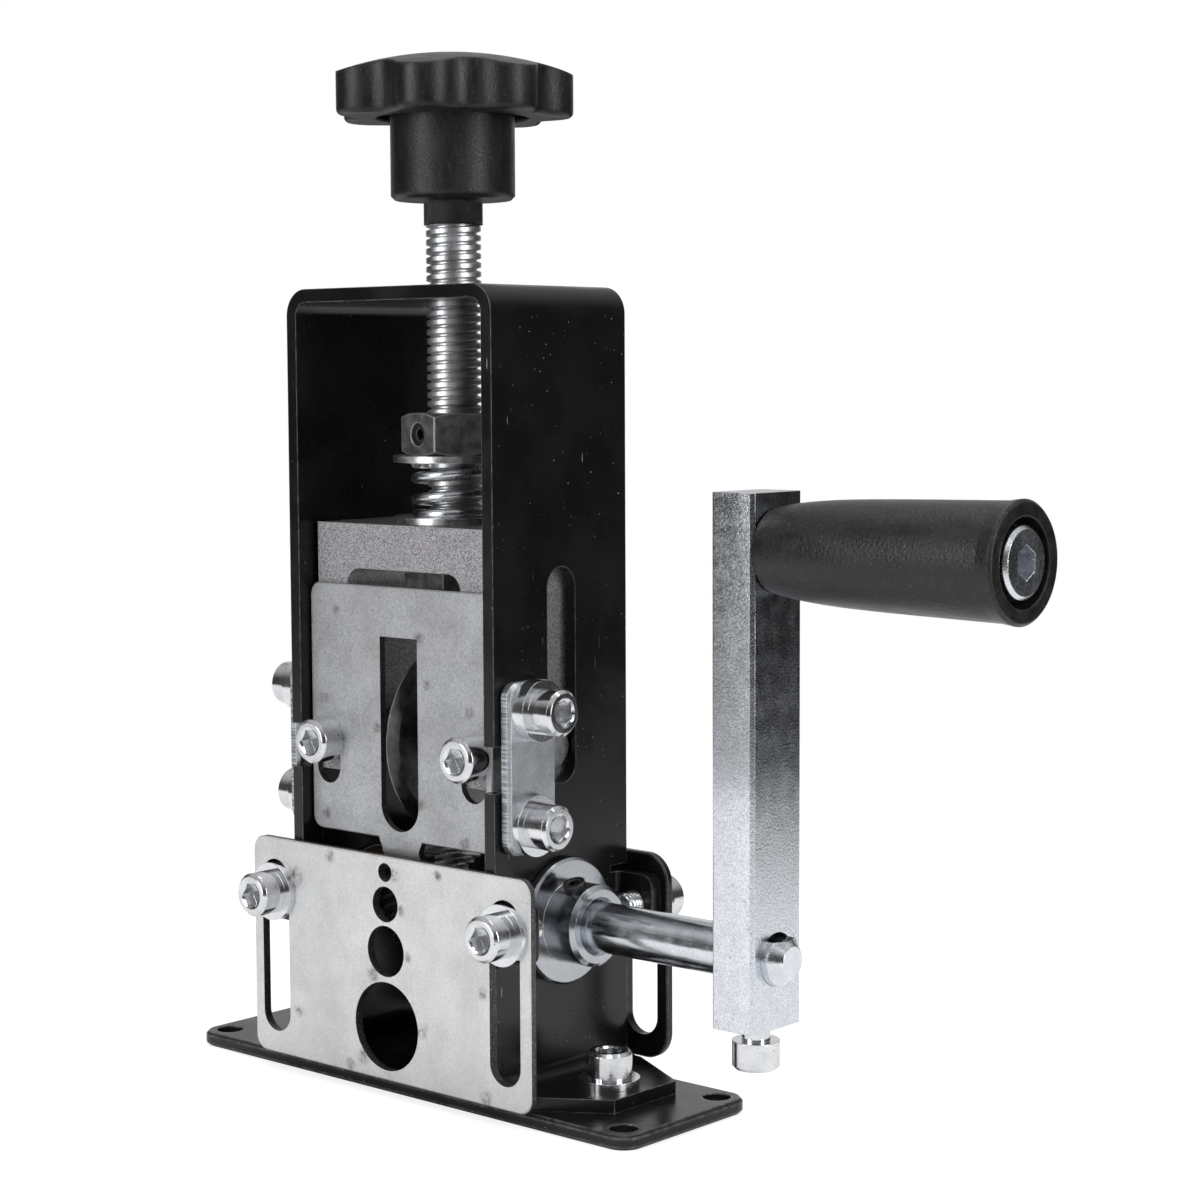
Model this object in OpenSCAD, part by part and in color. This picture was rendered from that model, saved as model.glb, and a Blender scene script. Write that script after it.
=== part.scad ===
// Hand crank wire stripper, life size, in millimetres.
// Origin: centre of the base plate's underside. X to the crank side, Y to the rear, Z up.
// A screw press pushes a yoke with a free-turning disc blade towards a toothed feed roller.

/* [Base plate] */
// Length of the base plate beyond each foot
base_end = 13.7; // [12:0.1:20]
// Distance of the base plate's long edges inside the frame's faces
base_inset = 0.5; // [0:0.25:1.5]
// Thickness of the base plate
base_t = 3.3; // [2.5:0.1:3.4]
// Corner radius of the base plate
base_r = 5; // [2:0.5:6]
// Bevel along the base plate's edges
base_edge = 0.7; // [0.2:0.1:0.9]
// Diameter of the four bench holes
base_hole_d = 6.4; // [4.6:0.2:6.6]
// Distance of the bench holes from both edges
base_hole_inset = 5.5; // [5:0.5:6]

/* [Frame] */
// Outer width of the frame
frame_w = 64; // [56:1:76]
// Depth of the frame, front to rear
frame_d = 43; // [42:0.5:50]
// Height of the frame's roof above the bench
frame_h = 180; // [178:1:200]
// Thickness of the frame's sheet
sheet_t = 3; // [2.5:0.5:3.5]
// Inner radius of the roof's bends
roof_bend = 3; // [2:0.5:5]
// Inner radius of the feet's bends
foot_bend = 3; // [1:0.5:4]
// Length of each foot, outward from the wall
foot_len = 22.8; // [20:0.2:25]
// Width of each foot at its tip
foot_tip_w = 20.4; // [16:0.2:28]
// Rearward shift of the feet's tips
foot_tip_back = 1.2; // [0:0.1:2]
// Length of each foot that keeps the full depth
foot_full = 4; // [2:0.5:6]
// Distance of the foot bolts from the walls
foot_bolt_out = 13.5; // [12:0.5:14.5]
// Gap between the blade's axle and the sides of the slot in each wall
wall_slot_gap = 0.5; // [0.3:0.1:1]
// Length of the wall slots below the blade's axle
wall_slot_low = 3.8; // [3:0.2:6]
// Length of the wall slots above the blade's axle
wall_slot_up = 35.9; // [30:0.1:38]
// Height of the notches in the front edges
notch_h = 10; // [8:0.5:12]
// Depth of the notches in the front edges
notch_deep = 2.8; // [2:0.2:3.6]
// Distance of the guide tabs' lower edge below the drive shaft's axis
tab_low = 5.8; // [4:0.2:7]
// Height of each guide tab
tab_h = 14; // [13:0.5:15]
// Reach of each guide tab, outward from the wall
tab_out = 10; // [9.5:0.5:12]
// Outer corner radius of the guide tabs
tab_r = 3; // [1:0.5:4]
// Width of the relief cut above and below each tab
relief_w = 1.5; // [1:0.25:2]
// Depth of the relief cuts
relief_deep = 5.6; // [5:0.2:6.4]

/* [Side bars] */
// Width of the side bars
bar_w = 15; // [14:0.5:16]
// Height of the side bars
bar_h = 37.5; // [36:0.5:40]
// Thickness of the side bars
bar_t = 3; // [2.5:0.5:4]
// Corner radius of the side bars
bar_r = 3.5; // [3:0.5:7]
// Distance of the side bars' middle behind the frame's front edges
bar_inset = 9; // [8.5:0.25:10]
// Height of the side bars' middle above the blade block's lower end
bar_rise = 5.4; // [4:0.2:7]
// Distance between the two bolts of a side bar
bar_bolt_pitch = 25; // [24:0.5:26]

/* [Guide plates] */
// Distance of the guide plates' screws from the walls
guide_bolt_out = 4.5; // [4:0.25:6]
// Width of the guide plates' rims outside their slots
guide_rim = 3; // [2.5:0.25:6]
// Thickness of both guide plates
guide_t = 2; // [1.5:0.25:2.5]
// Corner radius of the front guide plate
guide_r = 3.5; // [2:0.5:5]
// Corner radius of the rear guide plate
rear_guide_r = 6.5; // [2:0.5:7]
// Height of the front guide plate above its screws
front_guide_up = 12.4; // [11:0.1:14]
// Gap between the base plate and the front guide plate
front_guide_gap = 0.4; // [0.3:0.1:2]
// Height of the rear guide plate above its screws
rear_guide_up = 11.4; // [10.5:0.1:14]
// Gap between the base plate and the rear guide plate
rear_guide_gap = 3.1; // [0.3:0.1:4]
// Gap between a guide plate's screws and the sides of its slots
guide_slot_gap = 1.5; // [0.5:0.25:2]
// Margin between the guide slots and the plate's top edge
guide_slot_top = 5; // [4:0.25:6]
// Margin between the guide slots and the plate's bottom edge
guide_slot_low = 5.25; // [4:0.25:8]
// Diameters of the feed holes, from the top
feed_d = [4.2, 8, 11.5, 20]; // [3:0.1:21]
// Depths of the feed holes' centres below the plate's top edge
feed_drop = [3.6, 10.8, 21.4, 38.4]; // [3:0.1:38.4]

/* [Blade block] */
// Gap between the blade block and each wall
block_gap = 0.9; // [0.5:0.1:1.2]
// Distance of the block's front and rear inside the frame's
block_inset = 4.5; // [4:0.25:6]
// Length of the block's cheeks below the blade's axle
block_low = 8; // [7:0.5:9]
// Height of the blade block
block_h = 56.5; // [55:0.5:58]
// Thickness of the block's cheeks
cheek_t = 10.1; // [8:0.1:12]
// Thickness of the web above the pocket
web_t = 10.1; // [8:0.1:11]
// Corner radius at the pocket's top
pocket_r = 4; // [2:0.5:6]
// Bevel along the block's upright edges
block_edge = 0.6; // [0.3:0.1:1]
// Depth of the guide groove in each side of the block
groove_deep = 1.2; // [0.9:0.1:1.4]

/* [Blade] */
// Radius of the cutting blade
blade_r = 22.5; // [21:0.5:22.5]
// Thickness of the cutting blade
blade_t = 2; // [1.5:0.25:2.5]
// Width of the blade's ground bevel
blade_bevel = 3; // [2:0.5:5]
// Gap between the blade and the feed roller at rest
bite_gap = 1.5; // [1.5:0.25:4]
// Diameter of the blade's axle
axle_d = 8; // [7:0.5:8]
// Reach of the axle's ends into the wall slots
axle_in_slot = 1.3; // [0.5:0.1:2]
// Outer diameter of the spacers beside the blade
spacer_d = 14; // [12:0.5:18]

/* [Depth plate] */
// Gap between the depth plate and each wall
depth_gap = 0.4; // [0.3:0.1:0.8]
// Height of the depth plate
depth_h = 56.6; // [55:0.2:58]
// Distance of the depth plate's lower edge below the block
depth_drop = 13.7; // [12:0.1:14]
// Thickness of the depth plate
depth_t = 1.6; // [1.2:0.2:2]
// Corner radius of the depth plate
depth_r = 3; // [2:0.5:4]
// Width of the blade slot
blade_slot_w = 11.8; // [10:0.2:13]
// Height of the blade slot
blade_slot_h = 43.5; // [42:0.5:46]
// Margin between the blade slot and the plate's lower edge
blade_slot_low = 1.9; // [1.5:0.1:2.2]
// Gap between the depth plate's screws and the sides of its slots
depth_slot_gap = 0.75; // [0.3:0.05:1]
// Height of the side slots
depth_slot_h = 13.8; // [12:0.2:15]
// Width of the tongue
tongue_w = 11.6; // [10:0.2:14]
// Length of the tongue's flared root
tongue_root = 2; // [1:0.25:3]
// Extra width of the tongue's root on each side
tongue_flare = 1; // [0.5:0.25:3]
// Inner radius of the tongue's curl
tongue_bend = 1.4; // [1:0.2:2]
// Length of the tongue's rearward lip
tongue_lip = 2; // [1:0.5:3]

/* [Press screw] */
// Diameter of the press screw
rod_d = 12.4; // [11.6:0.2:12.8]
// Advance of the press screw for one turn
rod_pitch = 2; // [1.5:0.25:2.5]
// Length of the press screw below the web
rod_tail = 8.5; // [8:0.5:9.5]
// Width across flats of the press screw's nuts
nut_af = 21; // [19:0.5:22]
// Height of the stop nut
stop_nut_h = 9.5; // [9:0.5:11]
// Height of the retaining nut under the web
keep_nut_h = 7; // [6:0.5:7.5]
// Diameter of the spring's washers
press_washer_d = 28; // [25:0.5:29]
// Thickness of the spring's washers
press_washer_t = 1.5; // [1:0.25:2]
// Height of the spring at rest
spring_h = 12.2; // [12:0.1:13]
// Gap between the press screw and the spring
spring_gap = 1.6; // [1.2:0.1:2.4]
// Diameter of the spring's wire
spring_wire = 2.4; // [2:0.1:2.4]
// Number of turns of the spring
spring_turns = 3; // [2:0.25:3]

/* [Knob] */
// Distance of the knob above the frame's roof
knob_rise = 14; // [4:0.5:20]
// Wall of the knob's neck round the press screw
knob_neck_wall = 0.4; // [0.3:0.1:1.2]
// Height of the knob's neck
knob_neck_h = 5.5; // [4:0.5:7]
// Diameter of the knob's hub
knob_hub_d = 27.8; // [26:0.2:30]
// Height of the hub below the knob's head
knob_hub_h = 18; // [16:0.5:20]
// Diameter of the knob over its lobes
knob_d = 54; // [50:1:60]
// Number of lobes
knob_lobes = 7; // [6:1:8]
// Radius of each lobe
lobe_r = 7; // [6.5:0.25:8]
// Radius of the hollows between the lobes
hollow_r = 6.5; // [6:0.5:8]
// Height of the knob's head at its middle
knob_head_h = 14.2; // [13:0.2:17]
// Rise of the knob's domed top
knob_dome = 4.8; // [2:0.2:6]
// Width of the ring recess round the hub
knob_recess_w = 3.2; // [2:0.2:4]
// Depth of the ring recess round the hub
knob_recess_deep = 4; // [2:0.5:6]

/* [Drive shaft] */
// Height of the drive shaft's axis
shaft_z = 40.8; // [40.4:0.1:41]
// Diameter of the drive shaft
shaft_d = 11; // [10:0.5:12]
// Length of the drive shaft beyond the left collar
shaft_stub = 2.1; // [0.5:0.1:6]
// Length of the drive shaft beyond the crank arm
shaft_out = 4; // [3:0.1:6]
// Bevel of the drive shaft's end at the crank
shaft_nose = 2.3; // [0.6:0.1:2.6]
// Depth of the flat on the drive shaft's end
shaft_flat = 1.3; // [0.8:0.1:2]
// Length of the flat on the drive shaft's end
shaft_flat_len = 17; // [15:1:20]
// Radius of the feed roller over its teeth
roller_r = 14.2; // [13.6:0.1:14.2]
// Width of the feed roller
roller_w = 22; // [18:1:26]
// Number of teeth on the feed roller
roller_teeth = 36; // [30:1:40]
// Depth of the feed roller's teeth
tooth_deep = 1.2; // [0.8:0.1:1.5]
// Slant of the feed roller's teeth, in degrees
tooth_slant = 24; // [10:1:30]
// Diameter of the shaft collars' flanges
collar_flange_d = 28; // [24:1:30]
// Thickness of the shaft collars' flanges
collar_flange_t = 2; // [1.5:0.25:3]
// Diameter of the shaft collars' hubs
collar_hub_d = 18; // [17:0.5:20]
// Length of the shaft collars' hubs
collar_hub_len = 8.6; // [8:0.2:10]
// Bevel round the outer end of the shaft collars' hubs
collar_edge = 0.9; // [0.3:0.1:1.2]
// Bevel of the shaft collars' bores at the outer end
collar_mouth = 0.9; // [0.3:0.1:1.2]
// Turn of the collars' grub screws towards the front, in degrees
collar_grub_turn = 21; // [0:1:40]
// Distance of the collars' grub screws outside the hubs
grub_out = 1.4; // [0:0.1:2]
// Wall of the shaft bushes
bush_wall = 2; // [1:0.25:2.5]

/* [Crank] */
// Distance of the crank arm from the right wall
arm_out = 48.5; // [40:0.5:60]
// Thickness of the crank arm
arm_t = 11; // [10:0.5:13]
// Width of the crank arm
arm_w = 16.5; // [15.5:0.5:19]
// Length of the crank arm
arm_len = 110.6; // [105:0.2:120]
// Length of the arm below the drive shaft
arm_tail = 14.6; // [13:0.2:17]
// Distance of the grip's axis below the arm's top end
grip_drop = 11.8; // [10:0.2:13]
// Bevel along the arm's long edges
arm_edge = 0.8; // [0.4:0.1:1.2]
// Gap between the arm and the clamp screw's head
clamp_gap = 3.1; // [1:0.1:3.6]
// Length of the hand grip
grip_len = 58; // [54:0.5:64]
// Diameter of the hand grip beside the arm
grip_d0 = 17.6; // [16:0.2:19]
// Diameter of the hand grip beside its end lip
grip_d1 = 23.4; // [22.4:0.2:27]
// Height of the lip round the hand grip's outer end
grip_lip = 0.4; // [0.1:0.1:0.8]
// Length of the run up to the lip
grip_lip_len = 3; // [1:0.5:6]
// Diameter of the recess in the hand grip's end
grip_recess_d = 17.6; // [15:0.2:18.6]
// Depth of the recess in the hand grip's end
grip_recess_deep = 5.5; // [5:0.5:9]
// Diameter of the grip bolt
grip_bolt_d = 8; // [7:0.5:8]

/* [Fasteners] */
// Thread diameter of the socket screws
m6_d = 6; // [5.5:0.1:6.2]
// Head diameter of the socket screws
m6_head_d = 10; // [9.6:0.1:10.2]
// Head height of the socket screws
m6_head_h = 6; // [5.5:0.1:6.2]
// Socket width across flats
m6_socket = 5; // [4:0.5:5.5]
// Diameter of the screws' washers
m6_washer_d = 13.4; // [12:0.2:14]
// Thickness of the screws' washers
m6_washer_t = 1.6; // [1.2:0.1:1.6]
// Diameter of the grub screws
grub_d = 5; // [4:0.5:5]

/* [Fits] */
// Radial clearance of turning fits
run_gap = 0.06; // [0.02:0.01:0.1]
// Radial clearance of screws and pins in their own body
seat_gap = 0.05; // [0.02:0.01:0.1]
// Gap between pieces that pass each other
pass_gap = 0.3; // [0.2:0.05:0.4]

/* [Hidden] */
$fn = 64;
black_paint = [0.09, 0.09, 0.1];
zinc = [0.78, 0.79, 0.82];
galvanised = [0.66, 0.68, 0.7];
grey_iron = [0.5, 0.5, 0.52];
black_plastic = [0.13, 0.13, 0.14];
dark_steel = [0.3, 0.3, 0.32];
spring_steel = [0.45, 0.46, 0.48];
bronze = [0.66, 0.5, 0.27];
// Overrun of every cut past the face that it opens
over = 1;

// Frame
wall_x = frame_w/2;
wall_in = wall_x - sheet_t;
front_y = -frame_d/2;
rear_y = frame_d/2;
roof_low = frame_h - sheet_t;
foot_x = wall_x + foot_len;
foot_bolt_x = wall_x + foot_bolt_out;
foot_top = base_t + sheet_t;
foot_tip_r = 2.5;
base_w = 2*(foot_x + base_end);
base_d = frame_d - 2*base_inset;
tab_bend = 1.2;
tab_z = shaft_z - tab_low;

// Carriage, from the feed roller up
shaft_r = shaft_d/2;
axle_z = shaft_z + roller_r + bite_gap + blade_r;
axle_len = 2*(wall_in + axle_in_slot);
wall_slot_w = axle_d + 2*wall_slot_gap;
wall_slot_z = axle_z - axle_d/2 - wall_slot_low;
wall_slot_top = axle_z + axle_d/2 + wall_slot_up;
block_w = 2*(wall_in - block_gap);
block_d = frame_d - 2*block_inset;
block_z = axle_z - block_low;
block_top = block_z + block_h;
block_front = -block_d/2;
pocket_w = block_w - 2*cheek_t;
web_z = block_top - web_t;
groove_gap = 0.4;
groove_w = m6_d + 2*groove_gap;
blade_gap = 0.15;
blade_edge_t = 0.2;

// Side bars
bar_z = block_z + bar_rise;
bar_y = front_y + bar_inset;
bar_bolt_z = [bar_z - bar_bolt_pitch/2, bar_z + bar_bolt_pitch/2];
notch_z = bar_z - notch_h/2;
tip_out = 0.4;
// Number of washers under the lower and the upper side bar bolt
bar_washers = [1, 2];

// Depth plate
depth_w = 2*(wall_in - depth_gap);
depth_z = block_z - depth_drop;
blade_slot_z = depth_z + blade_slot_low;
depth_slot_w = m6_d + 2*depth_slot_gap;
depth_slot_x = (block_w - cheek_t)/2;
depth_slot_low = 10.7;
cheek_screw_z = depth_z + depth_slot_low + depth_slot_h - depth_slot_w/2;
cheek_thread = 10.2;

// Guide plates
guide_bolt_x = wall_x + guide_bolt_out;
guide_bolt_z = tab_z + tab_h/2;
guide_slot_w = m6_d + 2*guide_slot_gap;
guide_w = 2*guide_bolt_x + guide_slot_w + 2*guide_rim;
guide_tip_gap = 0.7;
guide_thread = frame_d/2 - sheet_t - collar_flange_d/2 - guide_tip_gap;
front_guide_z = base_t + front_guide_gap;
rear_guide_z = base_t + rear_guide_gap;
plate_edge = 0.3;

// Press screw
rod_hole_r = rod_d/2 + run_gap;
rod_low = web_z - rod_tail;
rod_in_knob = 18;
thread_deep_share = 0.6;
knob_z = frame_h + knob_rise;
spring_z = block_top + press_washer_t;
spring_top = spring_z + spring_h;
stop_nut_z = spring_top + press_washer_t;
spring_r = rod_d/2 + spring_gap + spring_wire/2;
spring_sides = 6;
spring_rings = 8;
spring_close_share = 0.27;
spring_start = 222;

// Knob
knob_neck_d = rod_d + 2*knob_neck_wall;
knob_head_z = knob_z + knob_neck_h + knob_hub_h;
knob_top = knob_head_z + knob_head_h;
lobe_at = knob_d/2 - lobe_r;
lobe_step = 360/knob_lobes;
lobe_turn = -10;
lobe_half_gap = lobe_at*sin(lobe_step/2);
hollow_at = lobe_at*cos(lobe_step/2) + sqrt((lobe_r + hollow_r)^2 - lobe_half_gap^2);
dome_r = ((knob_d/2)^2 + knob_dome^2)/(2*knob_dome);
hub_edge = 0.9;
lobe_steps = 14;
hollow_steps = 6;

// Drive shaft
roller_root = roller_r - tooth_deep;
roller_twist = roller_w*tan(tooth_slant)/roller_r*180/PI;
roller_bevel = 0.8;
tooth_shares = [[0, 0], [0.38, 1], [0.56, 1], [0.86, 0]];
key_w = 4;
key_len = 16;
bush_d = shaft_d + 2*bush_wall;
bush_flange_w = 2;
bush_flange_t = 1;
collar_x = wall_x + pass_gap;
flange_edge = 0.5;
grub_x = collar_x + collar_flange_t + collar_hub_len/2;
shaft_left = collar_x + collar_flange_t + collar_hub_len + shaft_stub;
shaft_edge = 0.6;

// Crank
arm_x = wall_x + arm_out;
arm_x1 = arm_x + arm_t;
shaft_right = arm_x1 + shaft_out;
arm_z = shaft_z - arm_tail;
arm_top = arm_z + arm_len;
grip_z = arm_top - grip_drop;
grip_x = arm_x1 + pass_gap;
grip_x1 = grip_x + grip_len;
grip_bolt_head_d = 14.2;
grip_bolt_head_h = 5.5;
grip_bolt_socket = 6;
grip_socket_deep = 4;
grip_bolt_head_x = grip_x1 - grip_recess_deep + pass_gap;
grip_end_r = 0.6;
lip_r = grip_d1/2 + grip_lip;
grip_swell_share = 0.62;
grip_steps = 20;
clamp_reach = shaft_z - shaft_r - arm_z;

// Fasteners
socket_deep = 3;
head_edge = 0.7;
socket_mouth = 0.35;
hex_to_round = 1/cos(30);
mouth_r = m6_socket*hex_to_round/2 + socket_mouth;
grub_socket = 2.5;
grub_socket_deep = 2;
stop_grub_len = 3.6;
stop_grub_turn = -98;

// Slot with round ends along Y, centred
module slot(w, l) {
    square([w, l - w], center = true);
    for (y = [-1, 1]) translate([0, y*(l - w)/2]) circle(d = w);
}

// Rounded slab with bevelled edges, centred in X and Y, standing on z = 0
module soft_slab(w, d, t, r, e) {
    side = function (s) [[-s/2 + e, 0], [s/2 - e, 0], [s/2, e], [s/2, t - e],
        [s/2 - e, t], [-s/2 + e, t], [-s/2, t - e], [-s/2, e]];
    translate([w/2 - r, 0, 0]) rotate([90, 0, -90]) linear_extrude(w - 2*r) polygon(side(d));
    translate([0, d/2 - r, 0]) rotate([90, 0, 0]) linear_extrude(d - 2*r) polygon(side(w));
    for (x = [-1, 1], y = [-1, 1])
        translate([x*(w/2 - r), y*(d/2 - r), 0])
            rotate_extrude() polygon([[0, 0], [r - e, 0], [r, e], [r, t - e], [r - e, t], [0, t]]);
}

// Stands a flat piece up in the XZ plane: its front face at y, its own Y along Z
module upright(y, t) translate([0, y + t, 0]) rotate([90, 0, 0]) linear_extrude(t) children();

// Turns a piece built along Z so that it runs along X
module along_x() rotate([0, 90, 0]) children();

// Copies a piece to both sides of the middle
module both_sides() {
    children();
    mirror([1, 0, 0]) children();
}

// Copies a piece to the front and the rear
module front_and_rear() {
    children();
    mirror([0, 1, 0]) children();
}

// Socket screw along Z: the head stands on z = 0 and the shank hangs below
module socket_screw(len) {
    difference() {
        rotate_extrude() polygon([[0, 0], [m6_head_d/2, 0], [m6_head_d/2, m6_head_h - head_edge],
            [m6_head_d/2 - head_edge, m6_head_h], [0, m6_head_h]]);
        translate([0, 0, m6_head_h - socket_deep])
            cylinder(h = socket_deep + over, d = m6_socket*hex_to_round, $fn = 6);
        rotate_extrude() polygon([[0, m6_head_h - mouth_r*tan(30)],
            [mouth_r + over/tan(30), m6_head_h + over], [0, m6_head_h + over]]);
    }
    translate([0, 0, -len]) cylinder(h = len, d = m6_d);
}

// Flat washer standing on z = 0
module washer(d, hole_d, t) {
    difference() {
        cylinder(h = t, d = d);
        translate([0, 0, -over]) cylinder(h = t + 2*over, d = hole_d);
    }
}

// Grub screw along Z: its socket end is at z = 0 and its tip at -len
module grub(len) {
    difference() {
        translate([0, 0, -len]) cylinder(h = len, d = grub_d);
        translate([0, 0, -grub_socket_deep])
            cylinder(h = grub_socket_deep + over, d = grub_socket*hex_to_round, $fn = 6);
    }
}

// Hexagon nut with turned corners, standing on z = 0
module hex_nut(af, h, hole_d, low_edge) {
    corner = af*hex_to_round/2;
    drop = (corner - af/2)*tan(30);
    difference() {
        intersection() {
            cylinder(h = h, r = corner, $fn = 6);
            rotate_extrude() polygon([[0, 0], [low_edge ? af/2 : corner, 0],
                [corner, low_edge ? drop : 0], [corner, h - drop], [af/2, h], [0, h]]);
        }
        translate([0, 0, -over]) cylinder(h = h + 2*over, d = hole_d);
    }
}

module base_plate() color(black_paint) difference() {
    soft_slab(base_w, base_d, base_t, base_r, base_edge);
    for (x = [-1, 1], y = [-1, 1])
        translate([x*(base_w/2 - base_hole_inset), y*(base_d/2 - base_hole_inset), -over])
            cylinder(h = base_t + 2*over, d = base_hole_d);
    for (x = [-1, 1])
        translate([x*foot_bolt_x, 0, -over]) cylinder(h = base_t + 2*over, r = m6_d/2 + seat_gap);
}

// Outline of the bent sheet, seen from the front
module portal_outline() {
    difference() {
        portal_block(wall_x, frame_h, sheet_t + roof_bend);
        portal_block(wall_in, roof_low, roof_bend);
    }
    both_sides() translate([wall_x, base_t]) {
        square([foot_len, sheet_t]);
        difference() {
            square([foot_bend, sheet_t + foot_bend]);
            translate([foot_bend, sheet_t + foot_bend]) circle(r = foot_bend);
        }
    }
}

// Block with two round upper corners, from the base plate up
module portal_block(half_w, top, r) {
    translate([-half_w, base_t]) square([2*half_w, top - base_t - r]);
    translate([-half_w + r, base_t]) square([2*(half_w - r), top - base_t]);
    for (x = [-1, 1]) translate([x*(half_w - r), top - r]) circle(r = r);
}

// Material outside the rounded heel of one foot bend
module heel_cut() {
    r = sheet_t + foot_bend;
    translate([wall_in - over, 0, base_t - over]) difference() {
        translate([0, front_y - over, 0]) cube([r + over, frame_d + 2*over, r + over]);
        translate([r + over, front_y - 2*over, r + over]) rotate([-90, 0, 0])
            cylinder(h = frame_d + 4*over, r = r);
    }
}

// One guide tab, bent outward from the wall's front edge
module guide_tab() {
    r = sheet_t + tab_bend;
    translate([0, 0, tab_z]) {
        linear_extrude(tab_h) difference() {
            translate([wall_in, front_y]) square([r, r]);
            translate([wall_in + r, front_y + r]) circle(r = tab_bend);
        }
        translate([wall_in + r, front_y, 0])
            cube([wall_x + tab_out - tab_r - wall_in - r, sheet_t, tab_h]);
    }
    upright(front_y, sheet_t) {
        translate([wall_x + tab_out - tab_r, tab_z + tab_r]) square([tab_r, tab_h - 2*tab_r]);
        for (z = [tab_z + tab_r, tab_z + tab_h - tab_r])
            translate([wall_x + tab_out - tab_r, z]) circle(r = tab_r);
    }
}

// Cuts at one guide tab: the round of its bend and the relief slits above and below
module tab_cut() {
    r = sheet_t + tab_bend;
    translate([wall_in - over, front_y - over, tab_z]) linear_extrude(tab_h) difference() {
        square(r + over);
        translate([r + over, r + over]) circle(r = r);
    }
    for (z = [tab_z - relief_w, tab_z + tab_h])
        translate([wall_in - over, front_y - over, z])
            cube([sheet_t + 2*over, relief_deep + over, relief_w]);
}

// Material behind the tapered plan of one foot, whose tip reaches back to y
module foot_plan_cut(y) {
    full = wall_x + foot_full;
    translate([0, 0, base_t - over]) linear_extrude(sheet_t + 2*over) difference() {
        polygon([[full, frame_d/2], [foot_x, y], [foot_x, y - foot_tip_r], [foot_x + over, y - foot_tip_r],
            [foot_x + over, frame_d/2 + over], [full, frame_d/2 + over]]);
        translate([foot_x - foot_tip_r, y - foot_tip_r]) circle(r = foot_tip_r);
    }
}

module frame() color(black_paint) difference() {
    union() {
        translate([0, rear_y, 0]) rotate([90, 0, 0]) linear_extrude(frame_d) portal_outline();
        both_sides() front_and_rear() guide_tab();
    }
    both_sides() {
        heel_cut();
        foot_plan_cut(foot_tip_w/2 + foot_tip_back);
        mirror([0, 1, 0]) foot_plan_cut(foot_tip_w/2 - foot_tip_back);
        front_and_rear() tab_cut();
        translate([foot_bolt_x, 0, 0]) cylinder(h = foot_top + over, r = m6_d/2 + seat_gap);
        translate([wall_in - over, 0, (wall_slot_z + wall_slot_top)/2]) rotate([90, 0, 90])
            linear_extrude(sheet_t + 2*over) slot(wall_slot_w, wall_slot_top - wall_slot_z);
        translate([wall_in - over, front_y - over, notch_z])
            cube([sheet_t + 2*over, notch_deep + over, notch_h]);
        translate([wall_in - over, 0, shaft_z]) along_x()
            cylinder(h = sheet_t + 2*over, d = bush_d);
        for (z = bar_bolt_z) translate([wall_in - over, bar_y, z]) along_x()
            cylinder(h = sheet_t + 2*over, r = m6_d/2 + seat_gap);
        for (y = [front_y - over, rear_y - sheet_t - over])
            translate([guide_bolt_x, y, guide_bolt_z]) rotate([-90, 0, 0])
                cylinder(h = sheet_t + 2*over, r = m6_d/2 + seat_gap);
    }
    translate([0, 0, roof_low - over]) cylinder(h = sheet_t + 2*over, r = rod_hole_r);
}

module foot_bolts() color(zinc) both_sides()
    translate([foot_bolt_x, 0, foot_top + m6_washer_t]) socket_screw(m6_washer_t + foot_top - base_edge);

module foot_washers() color(zinc) both_sides()
    translate([foot_bolt_x, 0, foot_top]) washer(m6_washer_d, m6_d + 2*seat_gap, m6_washer_t);

module side_bar() {
    difference() {
        translate([wall_x, bar_y, bar_z]) along_x() soft_slab(bar_h, bar_w, bar_t, bar_r, base_edge);
        for (z = bar_bolt_z) translate([wall_x - over, bar_y, z]) along_x()
            cylinder(h = bar_t + 2*over, r = m6_d/2 + seat_gap);
    }
}

module side_bar_right() color(zinc) side_bar();

module side_bar_left() color(zinc) mirror([1, 0, 0]) side_bar();

module side_bar_bolts() color(zinc) both_sides() for (k = [0, 1])
    translate([wall_x + bar_t + bar_washers[k]*m6_washer_t, bar_y, bar_bolt_z[k]]) along_x()
        socket_screw(bar_washers[k]*m6_washer_t + bar_t + wall_x - block_w/2 + groove_deep - tip_out);

module side_bar_washers() color(zinc) both_sides() for (k = [0, 1], i = [0:bar_washers[k] - 1])
    translate([wall_x + bar_t + i*m6_washer_t, bar_y, bar_bolt_z[k]]) along_x()
        washer(m6_washer_d, m6_d + 2*seat_gap, m6_washer_t);

module shaft_bushes() color(bronze) both_sides() translate([0, 0, shaft_z]) along_x() difference() {
    union() {
        translate([0, 0, wall_in]) cylinder(h = sheet_t, d = bush_d);
        translate([0, 0, wall_in - bush_flange_t]) cylinder(h = bush_flange_t, d = bush_d + 2*bush_flange_w);
    }
    translate([0, 0, wall_in - bush_flange_t - over])
        cylinder(h = sheet_t + bush_flange_t + 2*over, r = shaft_r + run_gap);
}

// Screws of one guide plate, heads towards the front
module guide_screws() {
    both_sides() translate([guide_bolt_x, front_y - guide_t - m6_washer_t, guide_bolt_z])
        rotate([90, 0, 0]) socket_screw(m6_washer_t + guide_t + sheet_t + guide_thread);
}

module guide_washers() {
    both_sides() translate([guide_bolt_x, front_y - guide_t, guide_bolt_z])
        rotate([90, 0, 0]) washer(m6_washer_d, m6_d + 2*seat_gap, m6_washer_t);
}

module front_guide_bolts() color(zinc) guide_screws();

module front_guide_washers() color(zinc) guide_washers();

module rear_guide_bolts() color(zinc) mirror([0, 1, 0]) guide_screws();

module rear_guide_washers() color(zinc) mirror([0, 1, 0]) guide_washers();

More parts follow.
